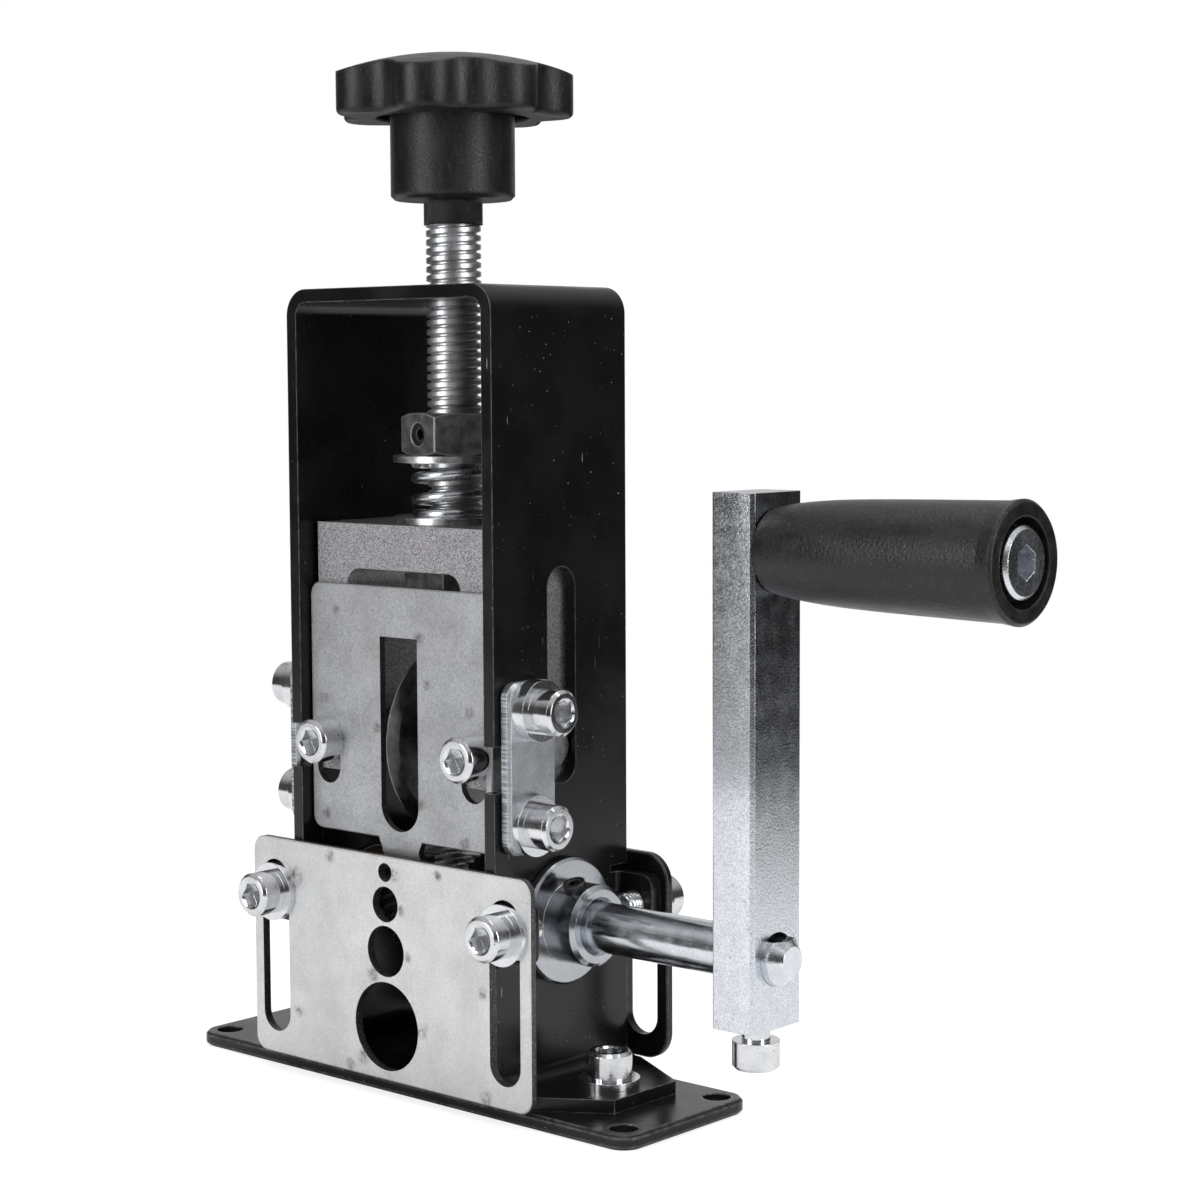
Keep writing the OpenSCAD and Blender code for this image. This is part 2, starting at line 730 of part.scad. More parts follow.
// Guide plate in front of the frame, from z to a height above its screws, with corner radius r
module guide_plate(z, up, r) {
    h = guide_bolt_z + up - z;
    slot_l = h - guide_slot_top - guide_slot_low;
    difference() {
        translate([0, front_y, z + h/2]) rotate([90, 0, 0])
            soft_slab(guide_w, h, guide_t, r, plate_edge);
        upright(front_y - guide_t - over, guide_t + 2*over) {
            for (x = [-1, 1]) translate([x*guide_bolt_x, z + guide_slot_low + slot_l/2])
                slot(guide_slot_w, slot_l);
            for (i = [0:len(feed_d) - 1]) translate([0, z + h - feed_drop[i]])
                circle(d = feed_d[i]);
        }
    }
}

module front_guide_plate() color(galvanised) guide_plate(front_guide_z, front_guide_up, guide_r);

module rear_guide_plate() color(black_paint) mirror([0, 1, 0])
    guide_plate(rear_guide_z, rear_guide_up, rear_guide_r);

module upper_washer() color(zinc) translate([0, 0, spring_top])
    washer(press_washer_d, rod_d + 2*pass_gap, press_washer_t);

module lower_washer() color(zinc) translate([0, 0, block_top])
    washer(press_washer_d, rod_d + 2*pass_gap, press_washer_t);

// The ends are turned down to the thread's root
module press_screw() color(zinc) translate([0, 0, rod_low]) rotate_extrude() {
    len = knob_z + rod_in_knob - rod_low;
    edge = rod_pitch*thread_deep_share;
    polygon([[0, 0], [rod_d/2 - edge, 0], [rod_d/2, edge], [rod_d/2, len - edge],
        [rod_d/2 - edge, len], [0, len]]);
}

// Points of an arc round c, from angle a0 to angle a1 in n steps
function arc(c, r, a0, a1, n) = [for (i = [0:n]) let (a = a0 + (a1 - a0)*i/n) c + r*[cos(a), sin(a)]];

// Outline of the knob's head: round lobes that run into round hollows
module lobed_outline() {
    half = lobe_step/2;
    meet = atan2(hollow_at*sin(half), hollow_at*cos(half) - lobe_at);
    polygon([for (i = [0:knob_lobes - 1]) let (a = i*lobe_step)
        each concat(arc(lobe_at*[cos(a), sin(a)], lobe_r, a - meet, a + meet, lobe_steps),
            arc(hollow_at*[cos(a + half), sin(a + half)], hollow_r, a + meet + 180,
                a + lobe_step - meet + 180, hollow_steps))]);
}

module knob() color(black_plastic) difference() {
    union() {
        translate([0, 0, knob_z]) cylinder(h = knob_neck_h + over, d = knob_neck_d);
        translate([0, 0, knob_z + knob_neck_h]) rotate_extrude()
            polygon([[0, 0], [knob_hub_d/2 - hub_edge, 0], [knob_hub_d/2, hub_edge],
                [knob_hub_d/2, knob_hub_h + knob_recess_deep + over],
                [0, knob_hub_h + knob_recess_deep + over]]);
        intersection() {
            difference() {
                translate([0, 0, knob_head_z]) rotate(lobe_turn)
                    linear_extrude(knob_head_h) lobed_outline();
                translate([0, 0, knob_head_z - over])
                    cylinder(h = knob_recess_deep + over, r = knob_hub_d/2 + knob_recess_w);
            }
            translate([0, 0, knob_top - dome_r]) sphere(r = dome_r, $fn = 128);
        }
    }
    translate([0, 0, knob_z - over]) cylinder(h = rod_in_knob + over, r = rod_d/2 + seat_gap);
}

module stop_nut() color(dark_steel) difference() {
    translate([0, 0, stop_nut_z]) rotate(stop_grub_turn + 30)
        hex_nut(nut_af, stop_nut_h, rod_d + 2*seat_gap, true);
    translate([0, 0, stop_nut_z + stop_nut_h/2]) rotate([0, 90, stop_grub_turn])
        cylinder(h = nut_af, r = grub_d/2 + seat_gap);
}

module stop_nut_grub() color(black_paint) translate([0, 0, stop_nut_z + stop_nut_h/2])
    rotate([0, 90, stop_grub_turn]) translate([0, 0, rod_d/2 + seat_gap + stop_grub_len])
        grub(stop_grub_len);

module retaining_nut() color(dark_steel) translate([0, 0, web_z - keep_nut_h])
    hex_nut(nut_af, keep_nut_h, rod_d + 2*seat_gap, true);

// Front view of the yoke: a block whose pocket leaves a web and two cheeks
module yoke_outline() {
    difference() {
        translate([-block_w/2, block_z]) square([block_w, block_h]);
        translate([-pocket_w/2, block_z - over]) square([pocket_w, block_h - web_t - pocket_r + over]);
        translate([-pocket_w/2 + pocket_r, block_z - over])
            square([pocket_w - 2*pocket_r, block_h - web_t + over]);
        for (x = [-1, 1]) translate([x*(pocket_w/2 - pocket_r), web_z - pocket_r]) circle(r = pocket_r);
    }
}

// Plan of the yoke, with bevelled upright edges and a guide groove in each side
module yoke_plan() {
    difference() {
        polygon([[-block_w/2 + block_edge, -block_d/2], [block_w/2 - block_edge, -block_d/2],
            [block_w/2, -block_d/2 + block_edge], [block_w/2, block_d/2 - block_edge],
            [block_w/2 - block_edge, block_d/2], [-block_w/2 + block_edge, block_d/2],
            [-block_w/2, block_d/2 - block_edge], [-block_w/2, -block_d/2 + block_edge]]);
        for (x = [-1, 1]) translate([x*(block_w/2 - groove_deep/2 + over/2), bar_y])
            square([groove_deep + over, groove_w], center = true);
    }
}

module blade_block() color(grey_iron) difference() {
    intersection() {
        upright(block_front - over, block_d + 2*over) yoke_outline();
        translate([0, 0, block_z - over]) linear_extrude(block_h + 2*over) yoke_plan();
    }
    translate([0, 0, web_z - over]) cylinder(h = web_t + 2*over, r = rod_d/2 + pass_gap);
    translate([-block_w/2 - over, 0, axle_z]) along_x()
        cylinder(h = block_w + 2*over, r = axle_d/2 + seat_gap);
    for (x = [-1, 1]) translate([x*depth_slot_x, block_front - over, cheek_screw_z]) rotate([-90, 0, 0])
        cylinder(h = cheek_thread + 2*over, r = m6_d/2 + seat_gap);
}

// Height share of the spring's wire after a share t of its length, closer at both ends
function spring_rise(t) = t - spring_close_share*sin(360*t)/(2*PI);

function spring_point(t) = let (a = spring_start + 360*spring_turns*t)
    [spring_r*cos(a), spring_r*sin(a), spring_z + spring_wire/2
        + (spring_h - spring_wire)*spring_rise(t)];

// Points along the wire's middle: a straight end, the turns and a straight end
function spring_path() = let (n = spring_rings*spring_turns,
        a0 = spring_start, a1 = spring_start + 360*spring_turns,
        p0 = spring_point(0), p1 = spring_point(1))
    concat([p0 + spring_wire*[sin(a0), -cos(a0), 0]],
        [for (i = [0:n]) spring_point(i/n)],
        [p1 + spring_wire*[-sin(a1), cos(a1), 0]]);

function unit(v) = v/norm(v);

// Ring of points round the path at its point i
function spring_ring(path, i) = let (n = len(path) - 1,
        dir = unit(path[min(i + 1, n)] - path[max(i - 1, 0)]),
        side = unit(cross([0, 0, 1], dir)),
        up = cross(dir, side))
    [for (k = [0:spring_sides - 1]) let (b = 360*(k + 0.5)/spring_sides)
        path[i] + spring_wire/2*(cos(b)*side + sin(b)*up)];

spring_line = spring_path();
spring_clear = min([for (i = [0:len(spring_line) - 1], j = [0:len(spring_line) - 1])
    if (abs(i - j) > spring_rings/2) norm(spring_line[i] - spring_line[j])]) - spring_wire;
echo("least gap of the spring to itself, mm", spring_clear);

module spring() color(spring_steel) {
    n = len(spring_line);
    m = spring_sides;
    rings = [for (i = [0:n - 1]) each spring_ring(spring_line, i)];
    sides = [for (i = [0:n - 2], k = [0:m - 1]) let (a = i*m + k, b = i*m + (k + 1)%m)
        each [[a, a + m, b], [b, a + m, b + m]]];
    ends = [for (k = [1:m - 2]) each [[0, k, k + 1], [(n - 1)*m, (n - 1)*m + k + 1, (n - 1)*m + k]]];
    polyhedron(points = rings, faces = concat(sides, ends));
}

module blade_axle() color(zinc) translate([-axle_len/2, 0, axle_z]) along_x()
    cylinder(h = axle_len, d = axle_d);

module blade_spacers() color(zinc) both_sides() translate([blade_t/2 + blade_gap, 0, axle_z]) along_x()
    washer(spacer_d, axle_d + 2*seat_gap, pocket_w/2 - blade_t/2 - blade_gap);

module depth_plate_screws() color(zinc) for (x = [-1, 1])
    translate([x*depth_slot_x, block_front - depth_t, cheek_screw_z]) rotate([90, 0, 0])
        socket_screw(depth_t + cheek_thread);

module cutting_blade() color(dark_steel) translate([0, 0, axle_z]) along_x() rotate_extrude($fn = 128)
    polygon([[axle_d/2 + run_gap, -blade_t/2], [blade_r - blade_bevel, -blade_t/2],
        [blade_r, -blade_edge_t/2], [blade_r, blade_edge_t/2],
        [blade_r - blade_bevel, blade_t/2], [axle_d/2 + run_gap, blade_t/2]]);

// Tongue under the depth plate: a flared root, then a curl towards the roller
module tongue() {
    y0 = block_front - depth_t;
    low = depth_z - tongue_root;
    out = tongue_bend + depth_t;
    wide = tongue_w/2 + tongue_flare;
    upright(y0, depth_t) polygon([[-wide, depth_z + depth_t], [-wide, depth_z], [-tongue_w/2, low],
        [tongue_w/2, low], [wide, depth_z], [wide, depth_z + depth_t]]);
    translate([-tongue_w/2, y0 + out, low]) rotate([90, 0, 90]) linear_extrude(tongue_w) {
        intersection() {
            difference() {
                circle(r = out);
                circle(r = tongue_bend);
            }
            translate([-out, -out]) square(out);
        }
        translate([0, -out]) square([tongue_lip, depth_t]);
    }
}

module depth_plate() color(galvanised) {
    y0 = block_front - depth_t;
    difference() {
        translate([0, block_front, depth_z + depth_h/2]) rotate([90, 0, 0])
            soft_slab(depth_w, depth_h, depth_t, depth_r, plate_edge);
        upright(y0 - over, depth_t + 2*over) {
            translate([-blade_slot_w/2, blade_slot_z + blade_slot_w/2])
                square([blade_slot_w, blade_slot_h - blade_slot_w/2]);
            translate([0, blade_slot_z + blade_slot_w/2]) circle(d = blade_slot_w);
            for (x = [-1, 1]) translate([x*depth_slot_x, depth_z + depth_slot_low + depth_slot_h/2])
                slot(depth_slot_w, depth_slot_h);
        }
    }
    tongue();
}

module drive_shaft() color(zinc) difference() {
    translate([-shaft_left, 0, shaft_z]) along_x() rotate_extrude()
        polygon([[0, 0], [shaft_r - shaft_edge, 0], [shaft_r, shaft_edge],
            [shaft_r, shaft_left + shaft_right - shaft_nose],
            [shaft_r - shaft_nose, shaft_left + shaft_right], [0, shaft_left + shaft_right]]);
    translate([shaft_right - shaft_flat_len, -shaft_r, shaft_z + shaft_r - shaft_flat])
        cube([shaft_flat_len + over, shaft_d, shaft_flat + over]);
    key_space(0);
}

// Space of the roller's key, longer by a gap at each end
module key_space(gap) translate([-key_len/2 - gap, -key_w/2, shaft_z + shaft_r - key_w/2])
    cube([key_len + 2*gap, key_w, key_w]);

module roller_key() color(dark_steel) key_space(0);

// One turn of slanted teeth, each a low, wide tooth with a narrow land
module tooth_outline() polygon([for (i = [0:roller_teeth - 1], s = tooth_shares)
    let (a = 360*(i + s[0])/roller_teeth, r = roller_root + s[1]*tooth_deep) r*[cos(a), sin(a)]]);

module feed_roller() color(dark_steel) difference() {
    translate([-roller_w/2, 0, shaft_z]) along_x() intersection() {
        linear_extrude(roller_w, twist = roller_twist, slices = 8) tooth_outline();
        rotate_extrude() polygon([[0, 0], [roller_r - roller_bevel, 0],
            [roller_r + over, roller_bevel + over], [roller_r + over, roller_w - roller_bevel - over],
            [roller_r - roller_bevel, roller_w], [0, roller_w]]);
    }
    translate([-roller_w/2 - over, 0, shaft_z]) along_x()
        cylinder(h = roller_w + 2*over, r = shaft_r + seat_gap);
    key_space((roller_w - key_len)/2 + over);
}

module shaft_collars() color(zinc) both_sides() difference() {
    len = collar_flange_t + collar_hub_len;
    bore_r = shaft_r + seat_gap;
    translate([collar_x, 0, shaft_z]) along_x() difference() {
        rotate_extrude() polygon([[0, 0], [collar_flange_d/2, 0],
            [collar_flange_d/2, collar_flange_t - flange_edge],
            [collar_flange_d/2 - flange_edge, collar_flange_t], [collar_hub_d/2, collar_flange_t],
            [collar_hub_d/2, len - collar_edge], [collar_hub_d/2 - collar_edge, len], [0, len]]);
        rotate_extrude() polygon([[0, len - collar_mouth], [bore_r, len - collar_mouth],
            [bore_r + collar_mouth + over, len + over], [0, len + over]]);
    }
    translate([collar_x - over, 0, shaft_z]) along_x() cylinder(h = len + 2*over, r = bore_r);
    translate([grub_x, 0, shaft_z]) rotate([collar_grub_turn, 0, 0])
        cylinder(h = collar_hub_d, r = grub_d/2 + seat_gap);
}

module collar_grubs() color(black_paint) both_sides()
    translate([grub_x, 0, shaft_z]) rotate([collar_grub_turn, 0, 0])
        translate([0, 0, collar_hub_d/2 + grub_out]) grub(collar_hub_d/2 + grub_out - shaft_r - seat_gap);

module crank_arm() color(zinc) difference() {
    translate([arm_x, -arm_w/2, arm_z]) linear_extrude(arm_len)
        polygon([[arm_edge, 0], [arm_t - arm_edge, 0], [arm_t, arm_edge], [arm_t, arm_w - arm_edge],
            [arm_t - arm_edge, arm_w], [arm_edge, arm_w], [0, arm_w - arm_edge], [0, arm_edge]]);
    translate([arm_x - over, 0, shaft_z]) along_x() cylinder(h = arm_t + 2*over, r = shaft_r + seat_gap);
    translate([arm_x - over, 0, grip_z]) along_x()
        cylinder(h = arm_t + 2*over, r = grip_bolt_d/2 + seat_gap);
    translate([arm_x + arm_t/2, 0, arm_z - over]) cylinder(h = arm_tail + over, r = m6_d/2 + seat_gap);
}

module arm_clamp_screw() color(zinc) translate([arm_x + arm_t/2, 0, arm_z - clamp_gap]) rotate([180, 0, 0])
    socket_screw(clamp_gap + clamp_reach - seat_gap);

module grip_bolt() color(zinc) translate([0, 0, grip_z]) along_x() difference() {
    union() {
        translate([0, 0, arm_x]) cylinder(h = grip_bolt_head_x - arm_x, d = grip_bolt_d);
        translate([0, 0, grip_bolt_head_x]) rotate_extrude()
            polygon([[0, 0], [grip_bolt_head_d/2, 0], [grip_bolt_head_d/2, grip_bolt_head_h - head_edge],
                [grip_bolt_head_d/2 - head_edge, grip_bolt_head_h], [0, grip_bolt_head_h]]);
    }
    translate([0, 0, grip_bolt_head_x + grip_bolt_head_h - grip_socket_deep])
        cylinder(h = grip_socket_deep + over, d = grip_bolt_socket*hex_to_round, $fn = 6);
}

// Radius of the grip after a share t of its length: a quick swell, then a slow one
function grip_radius(t) = grip_d0/2 + (grip_d1 - grip_d0)/2
    *(grip_swell_share*(1 - (1 - t)^6) + (1 - grip_swell_share)*t);

module hand_grip() color(black_plastic) translate([grip_x, 0, grip_z]) along_x() difference() {
    rotate_extrude() {
        polygon(concat([[0, 0]],
            [for (i = [0:grip_steps]) let (t = i/grip_steps)
                [grip_radius(t), t*(grip_len - grip_end_r - grip_lip_len)]],
            [[lip_r, grip_len - grip_end_r], [lip_r - grip_end_r, grip_len], [0, grip_len]]));
    }
    translate([0, 0, -over]) cylinder(h = grip_len + 2*over, r = grip_bolt_d/2 + run_gap);
    translate([0, 0, grip_len - grip_recess_deep]) cylinder(h = grip_recess_deep + over, d = grip_recess_d);
}

base_plate();
frame();
foot_bolts();
foot_washers();
side_bar_left();
side_bar_right();
side_bar_bolts();
side_bar_washers();
shaft_bushes();
front_guide_bolts();
front_guide_washers();
rear_guide_bolts();
rear_guide_washers();
front_guide_plate();
rear_guide_plate();
upper_washer();
press_screw();
knob();
stop_nut();
stop_nut_grub();
retaining_nut();
blade_block();
spring();
lower_washer();
blade_axle();
blade_spacers();
depth_plate_screws();
cutting_blade();
depth_plate();
drive_shaft();
feed_roller();
roller_key();
shaft_collars();
collar_grubs();
crank_arm();
arm_clamp_screw();
grip_bolt();
hand_grip();
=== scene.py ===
"""Finishes and fine pieces of a hand crank wire stripper, laid out as an add-on."""

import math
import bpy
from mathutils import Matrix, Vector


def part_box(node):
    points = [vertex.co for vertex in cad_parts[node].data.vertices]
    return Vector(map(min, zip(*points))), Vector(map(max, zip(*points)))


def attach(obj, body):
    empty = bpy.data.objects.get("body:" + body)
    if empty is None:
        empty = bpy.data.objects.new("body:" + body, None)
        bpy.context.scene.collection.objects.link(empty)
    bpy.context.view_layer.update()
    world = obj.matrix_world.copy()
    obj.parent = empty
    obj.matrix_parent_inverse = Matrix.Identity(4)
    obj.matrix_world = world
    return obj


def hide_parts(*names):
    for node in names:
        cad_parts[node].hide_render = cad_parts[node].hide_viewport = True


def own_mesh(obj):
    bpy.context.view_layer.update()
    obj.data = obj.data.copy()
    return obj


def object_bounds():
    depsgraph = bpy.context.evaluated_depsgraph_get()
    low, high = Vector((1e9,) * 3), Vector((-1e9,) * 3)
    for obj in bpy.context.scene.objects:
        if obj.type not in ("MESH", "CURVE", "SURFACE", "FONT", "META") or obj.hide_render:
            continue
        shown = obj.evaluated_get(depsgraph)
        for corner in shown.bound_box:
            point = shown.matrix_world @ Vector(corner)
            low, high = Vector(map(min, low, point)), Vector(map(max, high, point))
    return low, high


bl_info = {
    "name": "Hand crank wire stripper",
    "version": (1, 0, 0),
    "blender": (4, 5, 0),
    "location": "3D View > Sidebar > Wire stripper",
    "description": "Finishes, threads, spring and studio of a hand crank wire stripper",
    "category": "Object",
}

import bmesh
import bpy
from mathutils import Matrix, Vector

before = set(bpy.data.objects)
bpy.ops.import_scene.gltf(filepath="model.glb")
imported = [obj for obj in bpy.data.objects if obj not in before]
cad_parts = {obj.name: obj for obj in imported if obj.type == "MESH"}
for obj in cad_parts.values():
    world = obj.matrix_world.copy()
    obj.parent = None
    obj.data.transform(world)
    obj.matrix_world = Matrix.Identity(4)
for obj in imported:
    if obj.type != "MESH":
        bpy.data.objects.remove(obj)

MM = 0.001
CAD_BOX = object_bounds()
ROD_LOW, ROD_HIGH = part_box("press_screw")
SPRING_LOW, SPRING_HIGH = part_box("spring")
KNOB_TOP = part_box("knob")[1].z

# Points of a CAD mesh that lie nearer than this are one point
WELD = 0.002 * MM
# Faces of a CAD mesh that turn by less than this are one face
FLAT = math.radians(0.5)
# Arrises of a CAD mesh turn by more than this, in degrees
ARRIS = 38
# Points of a made mesh, and of a thread's turns, that lie nearer than this are one point
SAME_POINT, SAME_SEAM = 0.0002 * MM, 0.001 * MM
# How far from a cut's height the points of its rim may lie
ON_CUT = 0.001 * MM
# Faces across a rounded rim and across a rounded arris
RIM_STEPS, ARRIS_STEPS = 4, 3
# Chamfer at the press screw's ends, and the guide screws' M6 thread
ROD_CHAMFER = 1.2 * MM
SCREW_DEPTH, SCREW_PITCH, SCREW_CHAMFER = 0.6 * MM, 1.0 * MM, 0.5 * MM
# Sides of the spring's wire, and steps in one of its turns
WIRE_SIDES, TURN_STEPS = 18, 40
# What is ground off each end of the spring, its closed turns there, and the rise of one
GROUND, END_TURNS, END_RISE = 0.3 * MM, 0.6, 2.45 * MM
# The knob's head: its height, how far out its lower rim begins, and how round that becomes
HEAD_HEIGHT, RIM_REACH, RIM_ROUND = 14.2 * MM, 19 * MM, 1.3 * MM
# How far from a rim's height its points may lie
ON_RIM = 0.5 * MM

# Cosine between a face's normal and the rounded one, on the flat and on an arris
ON_FLAT, ON_ARRIS = 0.995, 0.86

# Colours of wear, of painted highlights and shade, and of the lesser pieces
PAINT_DUST_WEAR_AND_GLINT = (0.30, 0.30, 0.30)
ZINC_PIT = (0.10, 0.10, 0.11)
RUBBED_AND_GLINTING_ZINC = (0.92, 0.93, 0.94)
SMUDGE = (0.13, 0.12, 0.125)
SHEET_SPECK = (0.14, 0.14, 0.14)
SHEET_STROKE = (0.2, 0.2, 0.2)
SHEET_CAST = (0.28, 0.275, 0.28)
SHADED_CUT_EDGE = (0.085, 0.08, 0.078)
RUBBED_SHEET = (0.42, 0.42, 0.42)
RUBBED_IRON = (0.5, 0.5, 0.5)
RUBBED_AND_GLINTING_STEEL = (0.60, 0.60, 0.61)
RUBBED_PLASTIC = (0.11, 0.11, 0.11)
PLASTIC_FLECK = (0.10, 0.10, 0.10)
DEPTH_SHEET = (0.42, 0.43, 0.445)
ROD_ZINC = (0.64, 0.65, 0.66)
SPRING_STEEL = (0.64, 0.655, 0.67)
GRIP_BOLT_ZINC = (0.74, 0.77, 0.82)
COLLAR_ZINC = (0.50, 0.52, 0.55)
ARM_ZINC = (0.76, 0.79, 0.84)
SHAFT_ZINC = (0.80, 0.83, 0.88)
ROLLER_STEEL = (0.12, 0.12, 0.122)
GRUB_STEEL = (0.03, 0.03, 0.032)
AXLE_STEEL = (0.42, 0.42, 0.43)
BLADE_STEEL = (0.24, 0.24, 0.25)
BUSH_BRONZE = (0.10, 0.075, 0.05)

# Marks in the paint: turn, stretch, cell size in mm, half width of a mark, share of bare cells
PAINT_MARKS = (
    ((0, 0, 0), (1, 1, 1), 1.9, 0.066, 0.70),
    ((0.3, 0.5, 0.9), (1, 1, 1), 3.1, 0.056, 0.60),
    ((0.10, 0.05, 0), (1, 1, 0.05), 1.7, 0.055, 0.40),
    ((0.65, 0.2, 0), (1, 1, 0.06), 2.1, 0.045, 0.40),
    ((-0.5, 0.1, 0.2), (1, 1, 0.06), 2.4, 0.040, 0.45),
)
# Shift of a layer of marks, in metres for each millimetre of its cell size
MARK_SHIFT = (0.013, 0.007, 0.003)
# Rub marks on the galvanised plates: x, z and size in millimetres
FRONT_SMUDGES = (
    (-18, 52.5, 2.2), (16.5, 52.0, 2.0), (3.0, 50.5, 2.4), (5.2, 43, 1.6), (7.0, 32.5, 2.0),
    (11.4, 17.0, 2.4), (-4, 27.5, 2.6), (-7.5, 7.8, 2.6), (-12, 5.4, 2.2), (31, 5.3, 2.4),
    (29.2, 37, 2.6), (30, 28, 2.0), (-29.3, 15, 2.2), (-39, 33, 2.2), (-30, 46, 3.4),
    (38.8, 26, 2.2), (39, 14, 2.2), (38.5, 47, 2.2),
)
DEPTH_SMUDGES = (
    (6.3, 103, 2.4), (-7.2, 82, 2.0), (6.6, 66, 2.2), (-24, 87, 3.0), (20, 58.8, 2.4),
    (-24, 61, 2.2), (9, 93, 1.8), (-20, 108, 1.6), (22, 88, 2.2),
)

# The camera as it was solved from the photo's edges; its angles are in degrees
CAMERA_PLACE = (0.40866, -0.41295, 0.16056)
CAMERA_TURN, CAMERA_PITCH, CAMERA_ROLL = 41.5, 5.01, -0.25
SENSOR_WIDTH = 36
# The camera shows nothing nearer than this, in metres
NEAREST = 0.02

# Each lamp's name, place and size in metres, and its power in watts
LAMPS = (
    ("front_lamp", (-0.25, -1.15, 0.42), (0.55, 0.85), 8.0),
    ("right_lamp", (1.2, 0.05, 0.42), (0.42, 0.85), 7.5),
    ("top_lamp", (0.05, 0.15, 1.25), (0.9, 0.9), 7.3),
)
LAMP_AIM = (0, 0, 0.11)

# The floor: half its side, its gap below the base plate, and the middle of its pale region
FLOOR_HALF = 4
FLOOR_GAP = 0.02 * MM
PALE_MIDDLE = (-0.12, -0.12, 0)
# The floor's colour far off and near, to light and metal and then to the camera
FLOOR_FAR, FLOOR_NEAR = (0.03, 0.03, 0.03), (0.62, 0.62, 0.62)
FLOOR_UNSHADED, FLOOR_SHADED = (0, 0, 0), (0.42, 0.42, 0.42)
# Level of the backdrop's light on matt faces, and the way in which metal sees it pale
MATT_LIGHT = 0.42
AWAY_FROM_CAMERA = (-0.663, 0.749, 0)


# Sizes and colours that a user would change

def length_setting(name, description, default, low, high):
    """A length property, given in millimetres"""
    return bpy.props.FloatProperty(
        name=name, description=description, default=default * MM, min=low * MM, max=high * MM,
        unit="LENGTH", precision=4)


def colour_setting(name, description, default):
    """A colour property"""
    return bpy.props.FloatVectorProperty(
        name=name, description=description, default=default, size=3, min=0, max=1,
        subtype="COLOR")


class ThreadSizes(bpy.types.PropertyGroup):
    """Sizes of the threads and of the spring"""

    rod_pitch: length_setting(
        "Rod pitch", "Rise of the press screw's thread in one turn", 2.0, 1.0, 3.0)
    rod_depth: length_setting(
        "Rod thread depth", "From crest to root of the press screw's thread", 1.0, 0.4, 1.4)
    small_thread: length_setting(
        "Screw thread", "Outer diameter of the guide plates' screws", 6, 3, 8)
    small_head: length_setting(
        "Screw head", "Diameter of the heads of the guide plates' screws", 10, 5, 14)
    tab_inside: length_setting(
        "Tab inside", "From the middle to the inner face of the frame's tabs", 18.5, 5, 25)
    wire: length_setting("Spring wire", "Diameter of the spring's wire", 2.4, 1.8, 2.6)
    turns: bpy.props.FloatProperty(
        name="Spring turns", description="Turns of wire in the spring",
        default=3.0, min=2.0, max=3.5)
    spring_start: bpy.props.FloatProperty(
        name="Spring start", description="Where the spring's lower end lies, round the rod",
        default=math.radians(222), subtype="ANGLE")


class FinishColours(bpy.types.PropertyGroup):
    """Colours of the metal, the paint and the plastic"""

    paint: colour_setting(
        "Paint", "Gloss paint of the frame, base and rear guide plate", (0.0042, 0.0042, 0.0046))
    scratch: colour_setting(
        "Scratches", "Pale scratches and specks in the paint", (0.55, 0.55, 0.55))
    zinc: colour_setting("Zinc", "Bright zinc plating of screws and washers", (0.76, 0.77, 0.79))
    bar: colour_setting("Bar stock", "Bluish zinc of the side bars", (0.66, 0.69, 0.73))
    sheet: colour_setting("Galvanised sheet", "Front guide plate", (0.66, 0.665, 0.67))
    iron: colour_setting("Blade block", "Blasted grey iron", (0.30, 0.29, 0.305))
    dark_steel: colour_setting("Dark steel", "Blackened nuts", (0.15, 0.145, 0.15))
    plastic: colour_setting(
        "Plastic", "Black plastic of the knob and the grip", (0.009, 0.009, 0.0092))


class StudioSettings(bpy.types.PropertyGroup):
    """Camera and light"""

    lens: bpy.props.FloatProperty(
        name="Lens", description="Focal length on a 36 mm sensor",
        default=77.1, min=20, max=200, subtype="DISTANCE_CAMERA")
    backdrop: colour_setting("Backdrop", "Colour of the floor and the backdrop", (1, 1, 1))
    lamps: bpy.props.FloatProperty(
        name="Lamps", description="Level of all the lamps together",
        default=1.0, min=0, max=4)


# Material building

def toned(colour, share):
    """A colour's three parts times a share"""
    return tuple(c * share for c in colour[:3])


